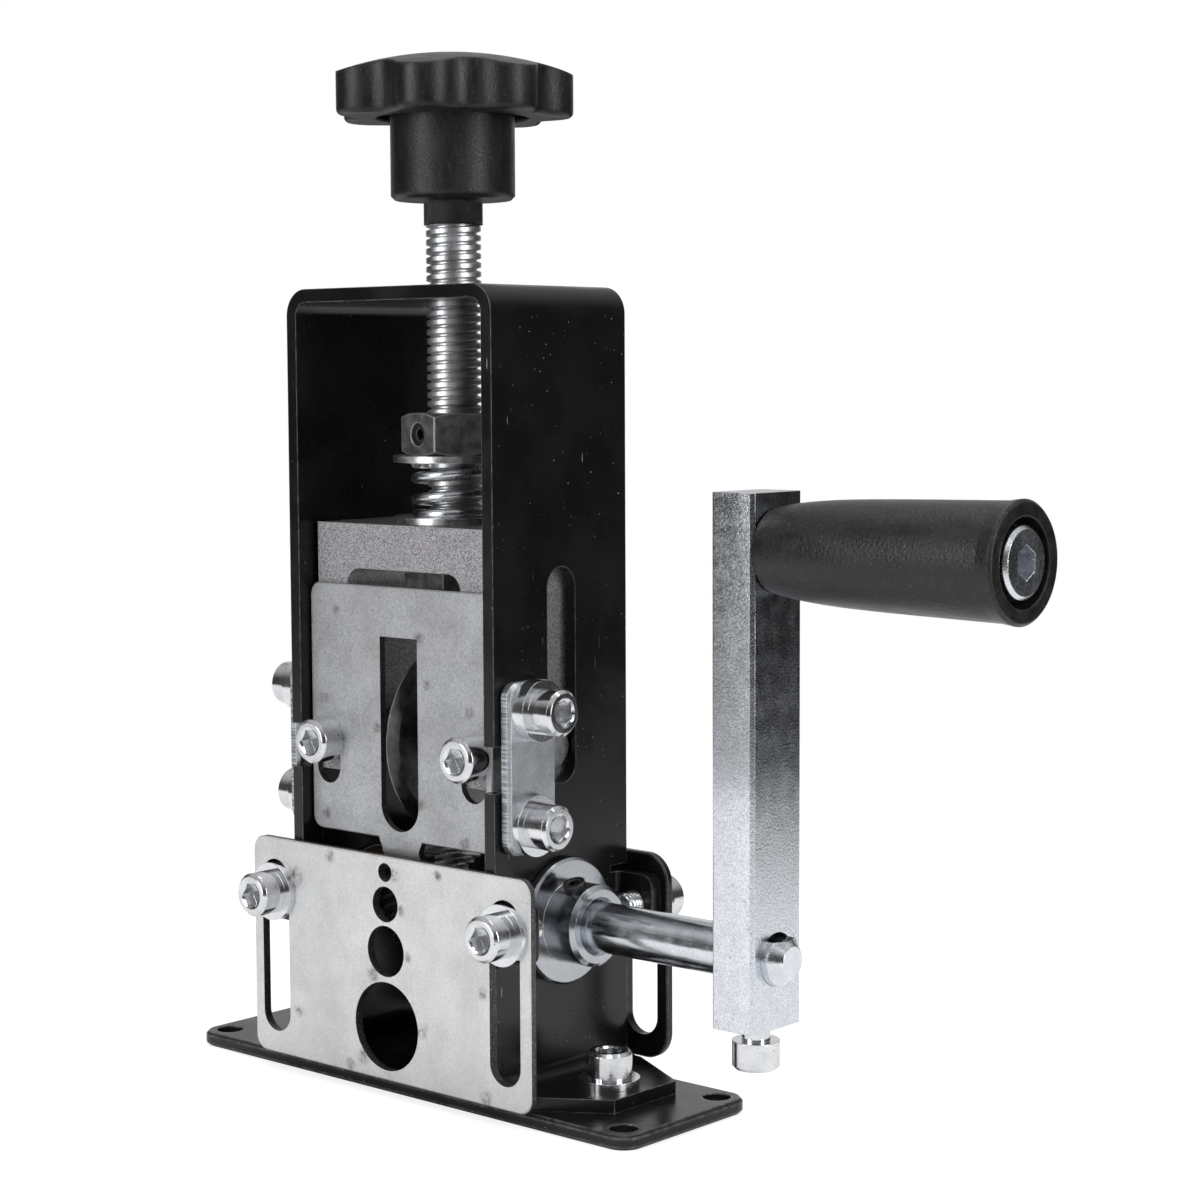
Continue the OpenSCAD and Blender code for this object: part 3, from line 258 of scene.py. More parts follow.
class NodeBuilder:
    """Adds and links the nodes of a material or of the world"""

    def __init__(self, tree):
        self.nodes, self.links = tree.nodes, tree.links
        self.nodes.clear()

    def add(self, kind, inputs=None, **settings):
        """A node with its settings, its inputs fed by name or by number"""
        node = self.nodes.new("ShaderNode" + kind)
        for key, value in settings.items():
            setattr(node, key, value)
        for key, value in (inputs or {}).items():
            self.feed(node.inputs[key], value)
        return node

    def feed(self, socket, value):
        """Links an input to an output, or sets its number, vector or colour"""
        if isinstance(value, bpy.types.NodeSocket):
            self.links.new(value, socket)
        elif hasattr(socket.default_value, "__len__") and len(socket.default_value) == 4:
            socket.default_value = (*value[:3], 1)
        else:
            socket.default_value = value

    def calculate(self, operation, a, b=0.0):
        """One Math node"""
        return self.add("Math", {0: a, 1: b}, operation=operation).outputs[0]

    def times(self, a, b):
        """The product of two values"""
        return self.calculate("MULTIPLY", a, b)

    def plus(self, a, b):
        """The sum of two values"""
        return self.calculate("ADD", a, b)

    def most(self, a, b):
        """The greater of two values; the first may be missing"""
        return b if a is None else self.calculate("MAXIMUM", a, b)

    def between(self, value, low, high, to_low=0.0, to_high=1.0):
        """Runs smoothly from to_low to to_high while a value goes from low to high"""
        node = self.add("MapRange", {"Value": value, "From Min": low, "From Max": high,
                                     "To Min": to_low, "To Max": to_high},
                        interpolation_type="SMOOTHSTEP")
        return node.outputs["Result"]

    def blend(self, share, a, b):
        """A colour between two, at a share of the way from a to b"""
        return self.add("Mix", {0: share, 6: a, 7: b}, data_type="RGBA").outputs[2]

    def level(self, share, a, b):
        """A number between two, at a share of the way from a to b"""
        node = self.add("Mix", {"Factor": share, "A": a, "B": b}, data_type="FLOAT")
        return node.outputs["Result"]


class Finish(NodeBuilder):
    """One material, built node by node on the piece's own Object coordinates"""

    def __init__(self, name):
        self.material = bpy.data.materials.new(name)
        self.material.use_nodes = True
        super().__init__(self.material.node_tree)
        self.surface = self.add("OutputMaterial").inputs["Surface"]
        self.place = self.add("TexCoord").outputs["Object"]

    def done(self, **sockets):
        """Ends the material with a shader that these values feed"""
        inputs = {key.replace("_", " "): value for key, value in sockets.items()}
        self.feed(self.surface, self.add("BsdfPrincipled", inputs).outputs[0])
        return self.material

    def moved(self, stretch=(1, 1, 1), turn=(0, 0, 0), shift=(0, 0, 0)):
        """The piece's coordinates, stretched, turned, and shifted in metres"""
        node = self.add("Mapping", {"Vector": self.place, "Scale": stretch,
                                    "Rotation": turn, "Location": shift})
        return node.outputs[0]

    def grain(self, size, detail=3, rough=0.55, place=None):
        """Noise whose lumps are about size millimetres across"""
        node = self.add("TexNoise", {"Vector": place or self.place, "Scale": 1000 / size,
                                     "Detail": detail, "Roughness": rough})
        return node.outputs["Fac"]

    def cells(self, size, place=None, output="Distance"):
        """Random points about size millimetres apart: the distance to one, or its colour"""
        node = self.add("TexVoronoi", {"Vector": place or self.place, "Scale": 1000 / size})
        return node.outputs[output]

    def shade(self, colour, value, low, high):
        """A colour times a share that runs from low to high with a 0 to 1 value"""
        return self.blend(value, toned(colour, low), toned(colour, high))

    def edges(self, radius):
        """Normals that round the arrises by a radius, and a value that is 1 along them"""
        bevel = self.add("Bevel", {"Radius": radius * MM}, samples=4).outputs[0]
        flat = self.add("NewGeometry").outputs["Normal"]
        dot = self.add("VectorMath", {0: bevel, 1: flat}, operation="DOT_PRODUCT")
        return bevel, self.between(dot.outputs["Value"], ON_FLAT, ON_ARRIS)

    def facing(self, axis, low, high):
        """0 to 1 as a face's own direction along an axis grows; with + only that way round"""
        normal = self.add("NewGeometry").outputs["True Normal"]
        value = self.add("SeparateXYZ", {0: normal}).outputs["XYZ".index(axis[0])]
        if not axis.endswith("+"):
            value = self.calculate("ABSOLUTE", value)
        return self.between(value, low, high)

    def height(self, low, high):
        """0 to 1 between two heights, in millimetres"""
        part = self.add("SeparateXYZ", {0: self.place})
        return self.between(part.outputs[2], low * MM, high * MM)

    def relief(self, height, depth, normal, strength):
        """Normals of small bumps, a depth in millimetres, over other normals"""
        node = self.add("Bump", {"Height": height, "Distance": depth * MM,
                                 "Strength": strength, "Normal": normal})
        return node.outputs[0]


def paint_finish(name, colours, specks=1.0, dust=0.0, edge_size=0.35):
    """Gloss black paint: dust specks, short pale scratches, arrises rubbed paler and painted
    with a highlight
    """
    f = Finish(name)
    round_edge, edge = f.edges(edge_size)
    marks = None
    for turn, stretch, cell, thin, rare in PAINT_MARKS:
        place = f.moved(stretch, turn, tuple(cell * part for part in MARK_SHIFT))
        dot = f.between(f.cells(cell, place), thin, thin * 0.6)
        pick = f.add("SeparateColor", {"Color": f.cells(cell, place, "Color")})
        kept = f.between(pick.outputs[0], rare, rare + 0.1)
        marks = f.most(marks, f.times(dot, kept))
    patches = f.between(f.grain(16, 2), 0.40, 0.62, 0.12, 1.0)
    marks = f.times(marks, f.times(patches, specks))
    # rubbed paint and a painted highlight, paler along the arrises
    worn = f.times(edge, f.between(f.grain(2.2, 4), 0.35, 0.65, 0.30, 0.95))
    body = f.shade(colours.paint, f.grain(9, 4), 0.7, 1.5)
    if dust:
        film = f.times(f.facing("Z+", 0.7, 0.95),
                       f.between(f.grain(7, 5), 0.3, 0.7, 0.4, 1.0))
        body = f.blend(f.times(film, dust), body, PAINT_DUST_WEAR_AND_GLINT)
    body = f.blend(worn, body, PAINT_DUST_WEAR_AND_GLINT)
    peel = f.plus(f.grain(1.1, 3), f.times(marks, 2.0))
    return f.done(
        Base_Color=f.blend(marks, body, colours.scratch),
        Roughness=f.between(f.grain(14, 5), 0.3, 0.7, 0.22, 0.34),
        Specular_IOR_Level=0.42,
        Normal=f.relief(peel, 0.008, round_edge, 0.6))


def zinc_finish(name, colour, rough, grain=0.0, streak=(1, 1, 1), edge_size=0.25, grain_size=0.5,
                cloud=0.85, dent=0.02, speckle=0.0, shade=None, ribs=0.0, rub_and_glint=0.6, pitted=0.6):
    """Zinc plating over turned, drawn or forged steel"""
    f = Finish(name)
    round_edge, edge = f.edges(edge_size)
    cloudy = f.grain(4, 4)
    fine = f.grain(grain_size, 3, 0.6, f.moved(streak))
    tint = f.shade(colour, f.between(cloudy, 0.3, 0.7), cloud, 1.06)
    if speckle:
        dots = f.between(f.grain(grain_size * 0.8, 2, 0.8), 0.42, 0.62)
        tint = f.blend(f.times(dots, speckle), tint, toned(colour, 0.42))
    if ribs:
        saw = f.between(f.grain(0.5, 2, 0.5, f.moved((0.03, 0.03, 1))), 0.46, 0.54)
        saw = f.times(saw, f.facing("Y", 0.6, 0.9))
        tint = f.blend(f.times(saw, ribs), tint, toned(colour, 0.25))
    if shade:
        # painted dark reflection: darker above a height, where the crank arm mirrors dark
        # surroundings
        low, high, reflection_darkening = shade
        tint = f.blend(f.times(f.height(low, high), reflection_darkening), tint, toned(colour, 0.15))
    pits = f.between(f.cells(3.5), 0.08, 0.04)
    tint = f.blend(f.times(pits, pitted), tint, ZINC_PIT)
    # arrises rubbed bright, with a painted highlight along them
    tint = f.blend(f.times(edge, rub_and_glint), tint, RUBBED_AND_GLINTING_ZINC)
    bumps = f.relief(f.grain(1.8, 3), dent, round_edge, 0.6)
    return f.done(
        Base_Color=tint, Metallic=1.0,
        Roughness=f.between(f.times(f.plus(cloudy, fine), 0.5), 0.35, 0.65, *rough),
        Normal=f.relief(fine, 0.02 + grain, bumps, 0.5))


def sheet_finish(name, colour, smudges, mottled):
    """Galvanised sheet: fine mottle, hair lines, ragged dark rub marks, cut edges painted dark
    as shade
    """
    f = Finish(name)
    round_edge, edge = f.edges(0.2)
    mottle = f.grain(0.45, 4, 0.62)
    cloud = f.grain(9, 5, 0.6)
    hair = f.grain(0.30, 2, 0.5, f.moved((1, 1, 0.07), (0, 0.12, 0)))
    tone = f.plus(f.times(mottle, 0.60), f.plus(f.times(cloud, 0.30), f.times(hair, 0.10)))
    span = 0.17 * mottled
    body = f.shade(colour, f.between(tone, 0.36, 0.64), 1 - span, 1 + span)
    # the noise adds 1.2 mm to a distance on average, which makes the marks ragged
    smudged, wander = None, f.grain(2.2, 4, 0.6)
    for x, z, size in smudges:
        away = f.add("VectorMath", {0: f.moved((1, 0, 1)), 1: (x * MM, 0, z * MM)},
                     operation="DISTANCE")
        reach = f.plus(away.outputs["Value"], f.times(wander, 2.4 * MM))
        spot = f.between(reach, (size + 1.2) * MM, (size * 0.15 + 1.0) * MM)
        smudged = f.most(smudged, spot)
    ragged = f.between(f.grain(1.6, 5, 0.7), 0.30, 0.66)
    smudged = f.times(f.times(smudged, ragged), 0.95)
    body = f.blend(smudged, body, SMUDGE)
    specks = f.between(f.cells(3.4, f.moved((1, 1, 1), (0.4, 0.2, 0.3))), 0.060, 0.03)
    body = f.blend(f.times(specks, 0.5), body, SHEET_SPECK)
    strokes = f.between(f.cells(2.4, f.moved((1, 1, 0.12), (0.2, 0.9, 0))), 0.05, 0.02)
    body = f.blend(f.times(strokes, 0.25), body, SHEET_STROKE)
    cast = f.between(f.grain(15, 4, 0.6), 0.42, 0.66)
    body = f.blend(f.times(cast, 0.22 * mottled), body, SHEET_CAST)
    # painted shade: faces that do not face along Y, the cut edges and slot walls, are painted
    # dark
    side = f.calculate("SUBTRACT", 1.0, f.facing("Y", 0.3, 0.7))
    torn = f.between(f.grain(0.35, 3, 0.8), 0.45, 0.7)
    body = f.blend(side, body, f.shade(SHADED_CUT_EDGE, torn, 0.6, 3.2))
    body = f.blend(f.times(edge, 0.30), body, RUBBED_SHEET)
    return f.done(
        Base_Color=body, Metallic=0.72,
        Roughness=f.between(f.plus(mottle, f.times(smudged, 0.4)), 0.3, 0.8, 0.44, 0.58),
        Normal=f.relief(mottle, 0.012, round_edge, 0.6))


def iron_finish(name, colour):
    """Blasted iron: fine bright and dark specks over an even grey, its top painted darker as
    shadow
    """
    f = Finish(name)
    round_edge, edge = f.edges(0.3)
    speck = f.grain(0.28, 2, 0.8)
    coarse = f.grain(0.8, 3, 0.6)
    tone = f.plus(f.times(speck, 0.85), f.times(coarse, 0.15))
    body = f.shade(colour, f.between(tone, 0.36, 0.64), 0.40, 1.75)
    # painted shadow: faces turned up are darker
    body = f.blend(f.facing("Z+", 0.6, 0.9), body, f.shade(colour, tone, 0.2, 0.6))
    body = f.blend(f.times(edge, 0.5), body, RUBBED_IRON)
    return f.done(
        Base_Color=body, Metallic=0.4,
        Roughness=f.between(speck, 0.3, 0.7, 0.62, 0.42),
        Normal=f.relief(tone, 0.045, round_edge, 0.7))


def dark_finish(name, colour, rough, shine):
    """Blackened steel with a little oil; its arrises are rubbed bright and painted with a
    highlight
    """
    f = Finish(name)
    round_edge, edge = f.edges(0.6)
    cloud = f.grain(2.6, 4, 0.6)
    lines = f.grain(0.4, 2, 0.5, f.moved((1, 1, 0.15)))
    body = f.shade(colour, f.between(cloud, 0.3, 0.7), 0.65, 1.35)
    # arrises rubbed bright, with a painted highlight along them
    body = f.blend(f.times(edge, shine), body, RUBBED_AND_GLINTING_STEEL)
    return f.done(
        Base_Color=body, Metallic=0.6,
        Roughness=f.between(f.times(f.plus(cloud, lines), 0.5), 0.35, 0.65, *rough),
        Normal=f.relief(lines, 0.01, round_edge, 0.5))


def plastic_finish(name, colour, rough, grain_size, depth, streak, shine, edge_size):
    """Moulded black plastic: fine grain, faint flow streaks, edges rubbed grey"""
    f = Finish(name)
    round_edge, edge = f.edges(edge_size)
    fine = f.grain(grain_size, 3, 0.6)
    flow = f.grain(3.0, 4, 0.6, f.moved(streak))
    body = f.shade(colour, f.between(flow, 0.3, 0.7), 0.7, 1.5)
    worn = f.times(edge, f.between(f.grain(1.5, 4), 0.4, 0.7, 0.1, 0.6))
    body = f.blend(worn, body, RUBBED_PLASTIC)
    flecks = f.between(f.grain(0.6, 2, 0.8), 0.60, 0.74)
    body = f.blend(f.times(flecks, 0.5), body, PLASTIC_FLECK)
    return f.done(
        Base_Color=body, Specular_IOR_Level=shine,
        Roughness=f.between(flow, 0.3, 0.7, *rough),
        Normal=f.relief(f.plus(fine, f.times(flow, 0.5)), depth, round_edge, 0.7))


def dress(material, *nodes):
    """Gives CAD nodes their finish, in every slot they have"""
    for name in nodes:
        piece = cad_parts[name]
        if not piece.material_slots:
            raise RuntimeError(f"{name} has no material slot")
        for slot in piece.material_slots:
            slot.material = material


# Mesh building

def welded_mesh(node):
    """A CAD piece's mesh in the shared frame, with its doubled points merged"""
    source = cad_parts[node]
    bm = bmesh.new()
    bm.from_mesh(source.data)
    bmesh.ops.transform(bm, matrix=source.matrix_world, verts=bm.verts)
    bmesh.ops.remove_doubles(bm, verts=bm.verts, dist=WELD)
    return bm


def arrises(bm):
    """The sharp edges of a mesh"""
    return [e for e in bm.edges
            if len(e.link_faces) == 2 and e.calc_face_angle(0) > math.radians(ARRIS)]


def round_off(bm, edges, size, segments):
    """Rounds edges by a size, less where their neighbours leave no room"""
    bmesh.ops.bevel(bm, geom=edges, offset=size, offset_type="OFFSET", affect="EDGES",
                    segments=segments, profile=0.5, clamp_overlap=True, material=-1)


def rounded_copy(node, name, material, width, body, smooth=35, rims=()):
    """Copies a CAD piece as one merged skin and rounds its arrises, the rims first"""
    bm = welded_mesh(node)
    bmesh.ops.dissolve_degenerate(bm, edges=bm.edges, dist=WELD)
    bmesh.ops.dissolve_limit(bm, angle_limit=FLAT, verts=bm.verts, edges=bm.edges)
    bmesh.ops.recalc_face_normals(bm, faces=bm.faces)
    for height, reach, size in rims:
        rim = [e for e in arrises(bm) if all(
            abs(v.co.z - height) < ON_RIM and v.co.xy.length > reach for v in e.verts)]
        round_off(bm, rim, size, RIM_STEPS)
    round_off(bm, arrises(bm), width, ARRIS_STEPS)
    made = finished_mesh(name, bm, material, sharp=smooth)
    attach(made, body)
    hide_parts(node)


def finished_mesh(name, bm, material, sharp=35):
    """Ends a mesh: doubles merged, faces outwards, smooth up to an angle"""
    bmesh.ops.remove_doubles(bm, verts=bm.verts, dist=SAME_POINT)
    bmesh.ops.recalc_face_normals(bm, faces=bm.faces)
    mesh = bpy.data.meshes.new(name)
    bm.to_mesh(mesh)
    bm.free()
    for face in mesh.polygons:
        face.use_smooth = True
    mesh.set_sharp_from_angle(angle=math.radians(sharp))
    piece = bpy.data.objects.new(name, mesh)
    bpy.context.scene.collection.objects.link(piece)
    mesh.materials.append(material)
    return piece


def profile_chain(bm, points):
    """A chain of edges through (radius, height) points in the XZ plane"""
    start = bmesh.ops.create_vert(bm, co=(points[0][0], 0, points[0][1]))["vert"][0]
    verts, edges = [start], []
    for radius, height in points[1:]:
        made = bmesh.ops.extrude_vert_indiv(bm, verts=[verts[-1]])
        verts.append(made["verts"][0])
        verts[-1].co = (radius, 0, height)
        edges.extend(made["edges"])
    return verts, edges


def cut_level(bm, height, upward):
    """Cuts a thread or a spring off level and closes it with a face"""
    geom = bm.verts[:] + bm.edges[:] + bm.faces[:]
    bmesh.ops.bisect_plane(bm, geom=geom, plane_co=(0, 0, height), plane_no=(0, 0, 1),
                           clear_outer=upward, clear_inner=not upward)
    rim = [e for e in bm.edges if e.is_boundary
           and all(abs(v.co.z - height) < ON_CUT for v in e.verts)]
    bmesh.ops.contextual_create(bm, geom=rim)


def thread_mesh(radius, depth, pitch, low, high, chamfer, crest=0.50, valley=0.12, steps=28):
    """A right-hand screw thread round Z; its flats are shares of the pitch"""
    bm = bmesh.new()
    core = radius - depth
    crest_flat, core_flat = pitch * crest, pitch * valley
    verts, edges = profile_chain(bm, [
        (core, -pitch / 2), (core, -pitch / 2 + core_flat / 2), (radius, -crest_flat / 2),
        (radius, crest_flat / 2), (core, pitch / 2 - core_flat / 2), (core, pitch / 2)])
    bmesh.ops.translate(bm, verts=verts, vec=(0, 0, low - pitch))
    turns = math.ceil((high - low) / pitch) + 2
    bmesh.ops.spin(bm, geom=verts + edges, cent=(0, 0, 0), axis=(0, 0, 1),
                   dvec=(0, 0, pitch / steps), angle=math.tau * turns, steps=steps * turns,
                   use_merge=False, use_normal_flip=False, use_duplicate=False)
    bmesh.ops.remove_doubles(bm, verts=bm.verts, dist=SAME_SEAM)
    cut_level(bm, low, upward=False)
    cut_level(bm, high, upward=True)
    for vert in bm.verts:
        end = min(vert.co.z - low, high - vert.co.z)
        most = radius - chamfer + max(end, 0)
        reach = math.hypot(vert.co.x, vert.co.y)
        if reach > most:
            vert.co.x *= most / reach
            vert.co.y *= most / reach
    return bm


# Operators: the pieces

class WIRESTRIPPER_OT_press_screw(bpy.types.Operator):
    """Cut the press screw's thread along the whole rod"""

    bl_idname = "wirestripper.press_screw"
    bl_label = "Press screw"

    def execute(self, context):
        sizes = context.scene.wirestripper_threads
        bm = thread_mesh((ROD_HIGH.x - ROD_LOW.x) / 2, sizes.rod_depth, sizes.rod_pitch,
                         ROD_LOW.z, ROD_HIGH.z, ROD_CHAMFER)
        steel = zinc_finish("zinc_thread", ROD_ZINC, (0.34, 0.44), edge_size=0.15, dent=0.0,
                            pitted=0.0)
        rod = finished_mesh("press_screw_thread", bm, steel, sharp=25)
        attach(rod, "screw")
        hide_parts("press_screw")
        return {"FINISHED"}


class WIRESTRIPPER_OT_guide_screws(bpy.types.Operator):
    """Cut threads on the free ends of the rear guide plate's screws"""

    bl_idname = "wirestripper.guide_screws"
    bl_label = "Guide screws"

    def execute(self, context):
        sizes, colours = context.scene.wirestripper_threads, context.scene.wirestripper_colours
        low, high = (Vector(corner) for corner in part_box("rear_guide_bolts"))
        tip, tab = low.y, sizes.tab_inside
        bm = welded_mesh("rear_guide_bolts")
        cut = bmesh.ops.bisect_plane(
            bm, geom=bm.verts[:] + bm.edges[:] + bm.faces[:], plane_co=(0, tab, 0),
            plane_no=(0, 1, 0), clear_inner=True)["geom_cut"]
        bmesh.ops.holes_fill(bm, edges=[e for e in cut if isinstance(e, bmesh.types.BMEdge)],
                             sides=0)
        for side in (-1, 1):
            end = thread_mesh(sizes.small_thread / 2, SCREW_DEPTH, SCREW_PITCH, tip, tab,
                              SCREW_CHAMFER, crest=0.12)
            place = Matrix.Translation((side * (high.x - sizes.small_head / 2), 0,
                                        (low.z + high.z) / 2))
            turn = Matrix.Rotation(-math.pi / 2, 4, "X")
            bmesh.ops.transform(end, matrix=place @ turn, verts=end.verts)
            mesh = bpy.data.meshes.new("thread")
            end.to_mesh(mesh)
            end.free()
            bm.from_mesh(mesh)
            bpy.data.meshes.remove(mesh)
        steel = zinc_finish("guide_screw_zinc", colours.zinc, (0.10, 0.20), speckle=0.15)
        screws = finished_mesh("rear_guide_screws", bm, steel, sharp=14)
        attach(screws, "stand")
        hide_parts("rear_guide_bolts")
        return {"FINISHED"}


class WIRESTRIPPER_OT_spring(bpy.types.Operator):
    """Wind the compression spring from round wire, with closed and ground ends"""

    bl_idname = "wirestripper.spring"
    bl_label = "Spring"

    def execute(self, context):
        sizes = context.scene.wirestripper_threads
        wire, turns = sizes.wire, sizes.turns
        radius = (SPRING_HIGH.x - SPRING_LOW.x) / 2 - wire / 2
        height = SPRING_HIGH.z - SPRING_LOW.z
        slope = (height - 2 * GROUND - 2 * END_TURNS * END_RISE) / (turns - 2 * END_TURNS)

        def rise(turn):
            """How far the wire has risen after some turns"""
            first = min(turn, END_TURNS)
            last = max(turn - turns + END_TURNS, 0)
            return (first + last) * END_RISE + (turn - first - last) * slope

        bm = bmesh.new()
        ring = bmesh.ops.create_circle(bm, segments=WIRE_SIDES, radius=wire / 2,
                                       cap_ends=False)["verts"]
        bmesh.ops.rotate(bm, verts=ring, cent=(0, 0, 0),
                         matrix=Matrix.Rotation(math.pi / 2, 3, "X"))
        bmesh.ops.translate(bm, verts=ring, vec=(radius, 0, SPRING_LOW.z + GROUND))
        bmesh.ops.rotate(bm, verts=ring, cent=(0, 0, 0),
                         matrix=Matrix.Rotation(sizes.spring_start, 3, "Z"))
        last = bm.verts[:] + bm.edges[:]
        for i in range(round(turns * TURN_STEPS)):
            step = rise((i + 1) / TURN_STEPS) - rise(i / TURN_STEPS)
            last = bmesh.ops.spin(
                bm, geom=last, cent=(0, 0, 0), axis=(0, 0, 1), dvec=(0, 0, step),
                angle=math.tau / TURN_STEPS, steps=1, use_merge=False, use_normal_flip=False,
                use_duplicate=False)["geom_last"]
        bmesh.ops.holes_fill(bm, edges=[e for e in bm.edges if e.is_boundary], sides=0)
        cut_level(bm, SPRING_LOW.z, upward=False)
        cut_level(bm, SPRING_HIGH.z, upward=True)
        steel = zinc_finish("spring_wire", SPRING_STEEL, (0.20, 0.30), edge_size=0.1, dent=0.0,
                            pitted=0.0)
        coil = finished_mesh("wound_spring", bm, steel, sharp=50)
        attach(coil, "press")
        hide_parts("spring")
        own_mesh(coil)
        return {"FINISHED"}


# Operators: the finishes

class WIRESTRIPPER_OT_paint(bpy.types.Operator):
    """Paint the base, the frame and the rear guide plate"""

    bl_idname = "wirestripper.paint"
    bl_label = "Black paint"

    def execute(self, context):
        colours = context.scene.wirestripper_colours
        dress(paint_finish("frame_paint", colours), "frame")
        dress(paint_finish("base_paint", colours, dust=0.02, edge_size=0.8), "base_plate")
        dress(paint_finish("rear_plate_paint", colours, specks=0.8), "rear_guide_plate")
        return {"FINISHED"}


class WIRESTRIPPER_OT_zinc(bpy.types.Operator):
    """Plate the screws, washers, bars, collars, shaft and arm"""

    bl_idname = "wirestripper.zinc"
    bl_label = "Zinc plating"

    def execute(self, context):
        colours = context.scene.wirestripper_colours
        dress(zinc_finish("screw_zinc", colours.zinc, (0.10, 0.20), speckle=0.15),
              "foot_bolts", "side_bar_bolts", "front_guide_bolts", "depth_plate_screws",
              "arm_clamp_screw")
        dress(zinc_finish("washer_zinc", colours.zinc, (0.14, 0.20), edge_size=0.15, cloud=0.95,
                          dent=0.0, speckle=0.05),
              "foot_washers", "side_bar_washers", "front_guide_washers", "rear_guide_washers")
        dress(zinc_finish("grip_bolt_zinc", GRIP_BOLT_ZINC, (0.22, 0.32), grain=0.02,
                          speckle=0.2),
              "grip_bolt")
        dress(zinc_finish("rod_washer_zinc", colours.zinc, (0.26, 0.36), cloud=0.5, dent=0.03),
              "upper_washer", "lower_washer")
        dress(zinc_finish("side_bar_zinc", colours.bar, (0.32, 0.44), grain=0.02,
                          grain_size=0.28, dent=0.0, speckle=0.6, ribs=0.8),
              "side_bar_left", "side_bar_right")
        dress(zinc_finish("collar_zinc", COLLAR_ZINC, (0.16, 0.26), grain_size=0.3, cloud=0.92,
                          dent=0.0, speckle=0.3),
              "shaft_collars")
        dress(zinc_finish("shaft_zinc", SHAFT_ZINC, (0.12, 0.24), grain=0.01,
                          streak=(0.06, 1, 1), grain_size=0.35, cloud=0.92, dent=0.0,
                          speckle=0.35),
              "drive_shaft")
        # the arm is painted darker from 70 to 84 mm up, a painted dark reflection
        arm = zinc_finish("arm_zinc", ARM_ZINC, (0.18, 0.30), grain=0.07, cloud=0.96, dent=0.0,
                          speckle=0.4, shade=(70, 84, 0.50))
        rounded_copy("crank_arm", "rounded_crank_arm", arm, 0.8 * MM, "crank",
                     smooth=12)
        return {"FINISHED"}


class WIRESTRIPPER_OT_sheet(bpy.types.Operator):
    """Give the two galvanised plates their mottle and rub marks"""

    bl_idname = "wirestripper.sheet"
    bl_label = "Galvanised plates"

    def execute(self, context):
        colours = context.scene.wirestripper_colours
        dress(sheet_finish("front_plate_sheet", colours.sheet, FRONT_SMUDGES, 0.7),
              "front_guide_plate")
        dress(sheet_finish("depth_plate_sheet", DEPTH_SHEET, DEPTH_SMUDGES, 1.3), "depth_plate")
        return {"FINISHED"}


class WIRESTRIPPER_OT_steel(bpy.types.Operator):
    """Finish the blade block, the blade, the nuts, the roller and the hidden steel parts"""

    bl_idname = "wirestripper.steel"
    bl_label = "Iron and steel"

    def execute(self, context):
        colours = context.scene.wirestripper_colours
        dress(iron_finish("block_iron", colours.iron), "blade_block")
        dress(dark_finish("nut_steel", colours.dark_steel, (0.28, 0.42), 0.9),
              "stop_nut", "retaining_nut")
        dress(dark_finish("roller_steel", ROLLER_STEEL, (0.18, 0.28), 0.5), "feed_roller")
        dress(dark_finish("grub_steel", GRUB_STEEL, (0.25, 0.4), 0.2),
              "stop_nut_grub", "collar_grubs")
        dress(zinc_finish("axle_steel", AXLE_STEEL, (0.25, 0.4), cloud=0.7),
              "blade_axle", "blade_spacers", "roller_key")
        dress(zinc_finish("blade_ground_steel", BLADE_STEEL, (0.26, 0.42), cloud=0.7, rub_and_glint=0.1),
              "cutting_blade")
        dress(zinc_finish("bush_bronze", BUSH_BRONZE, (0.35, 0.5), cloud=0.7), "shaft_bushes")
        return {"FINISHED"}


class WIRESTRIPPER_OT_plastic(bpy.types.Operator):
    """Mould the knob and the hand grip in black plastic"""

    bl_idname = "wirestripper.plastic"
    bl_label = "Knob and grip"

    def execute(self, context):
        colours = context.scene.wirestripper_colours
        knob = plastic_finish("knob_plastic", colours.plastic, (0.32, 0.44), grain_size=0.5,
                              depth=0.10, streak=(1, 1, 0.3), shine=0.36, edge_size=1.1)
        rounded_copy("knob", "lobed_knob", knob, 1.1 * MM, "screw",
                     rims=((KNOB_TOP - HEAD_HEIGHT, RIM_REACH, RIM_ROUND),))
        dress(plastic_finish("grip_plastic", colours.plastic, (0.30, 0.42), grain_size=0.7,
                             depth=0.16, streak=(0.3, 1, 1), shine=0.42, edge_size=0.6),
              "hand_grip")
        return {"FINISHED"}


# Operators: camera and studio

class WIRESTRIPPER_OT_camera(bpy.types.Operator):
    """Set the camera at the front right, a little above the middle"""

    bl_idname = "wirestripper.camera"
    bl_label = "Camera"

    def execute(self, context):
        turn, pitch, roll = (math.radians(a) for a in (CAMERA_TURN, CAMERA_PITCH, CAMERA_ROLL))
        view = Vector((-math.sin(turn) * math.cos(pitch), math.cos(turn) * math.cos(pitch),
                       -math.sin(pitch)))
        across = Vector((math.cos(turn), math.sin(turn), 0))
        up = across.cross(view)
        right = across * math.cos(roll) + up * math.sin(roll)
        up = up * math.cos(roll) - across * math.sin(roll)
        data = bpy.data.cameras.new("camera")
        data.sensor_width = SENSOR_WIDTH
        data.lens = context.scene.wirestripper_studio.lens
        data.clip_start = NEAREST
        camera = bpy.data.objects.new("camera", data)
        context.scene.collection.objects.link(camera)
        camera.matrix_world = Matrix.Translation(CAMERA_PLACE) @ Matrix(
            (right, up, -view)).transposed().to_4x4()
        context.scene.camera = camera
        return {"FINISHED"}


def lamp(name, place, size, power):
    """A soft rectangular lamp that looks at the object"""
    data = bpy.data.lights.new(name, "AREA")
    data.shape = "RECTANGLE"
    data.size, data.size_y = size
    data.energy = power
    made = bpy.data.objects.new(name, data)
    bpy.context.scene.collection.objects.link(made)
    look = Vector(LAMP_AIM) - Vector(place)
    made.location = place
    made.rotation_euler = look.to_track_quat("-Z", "Y").to_euler()


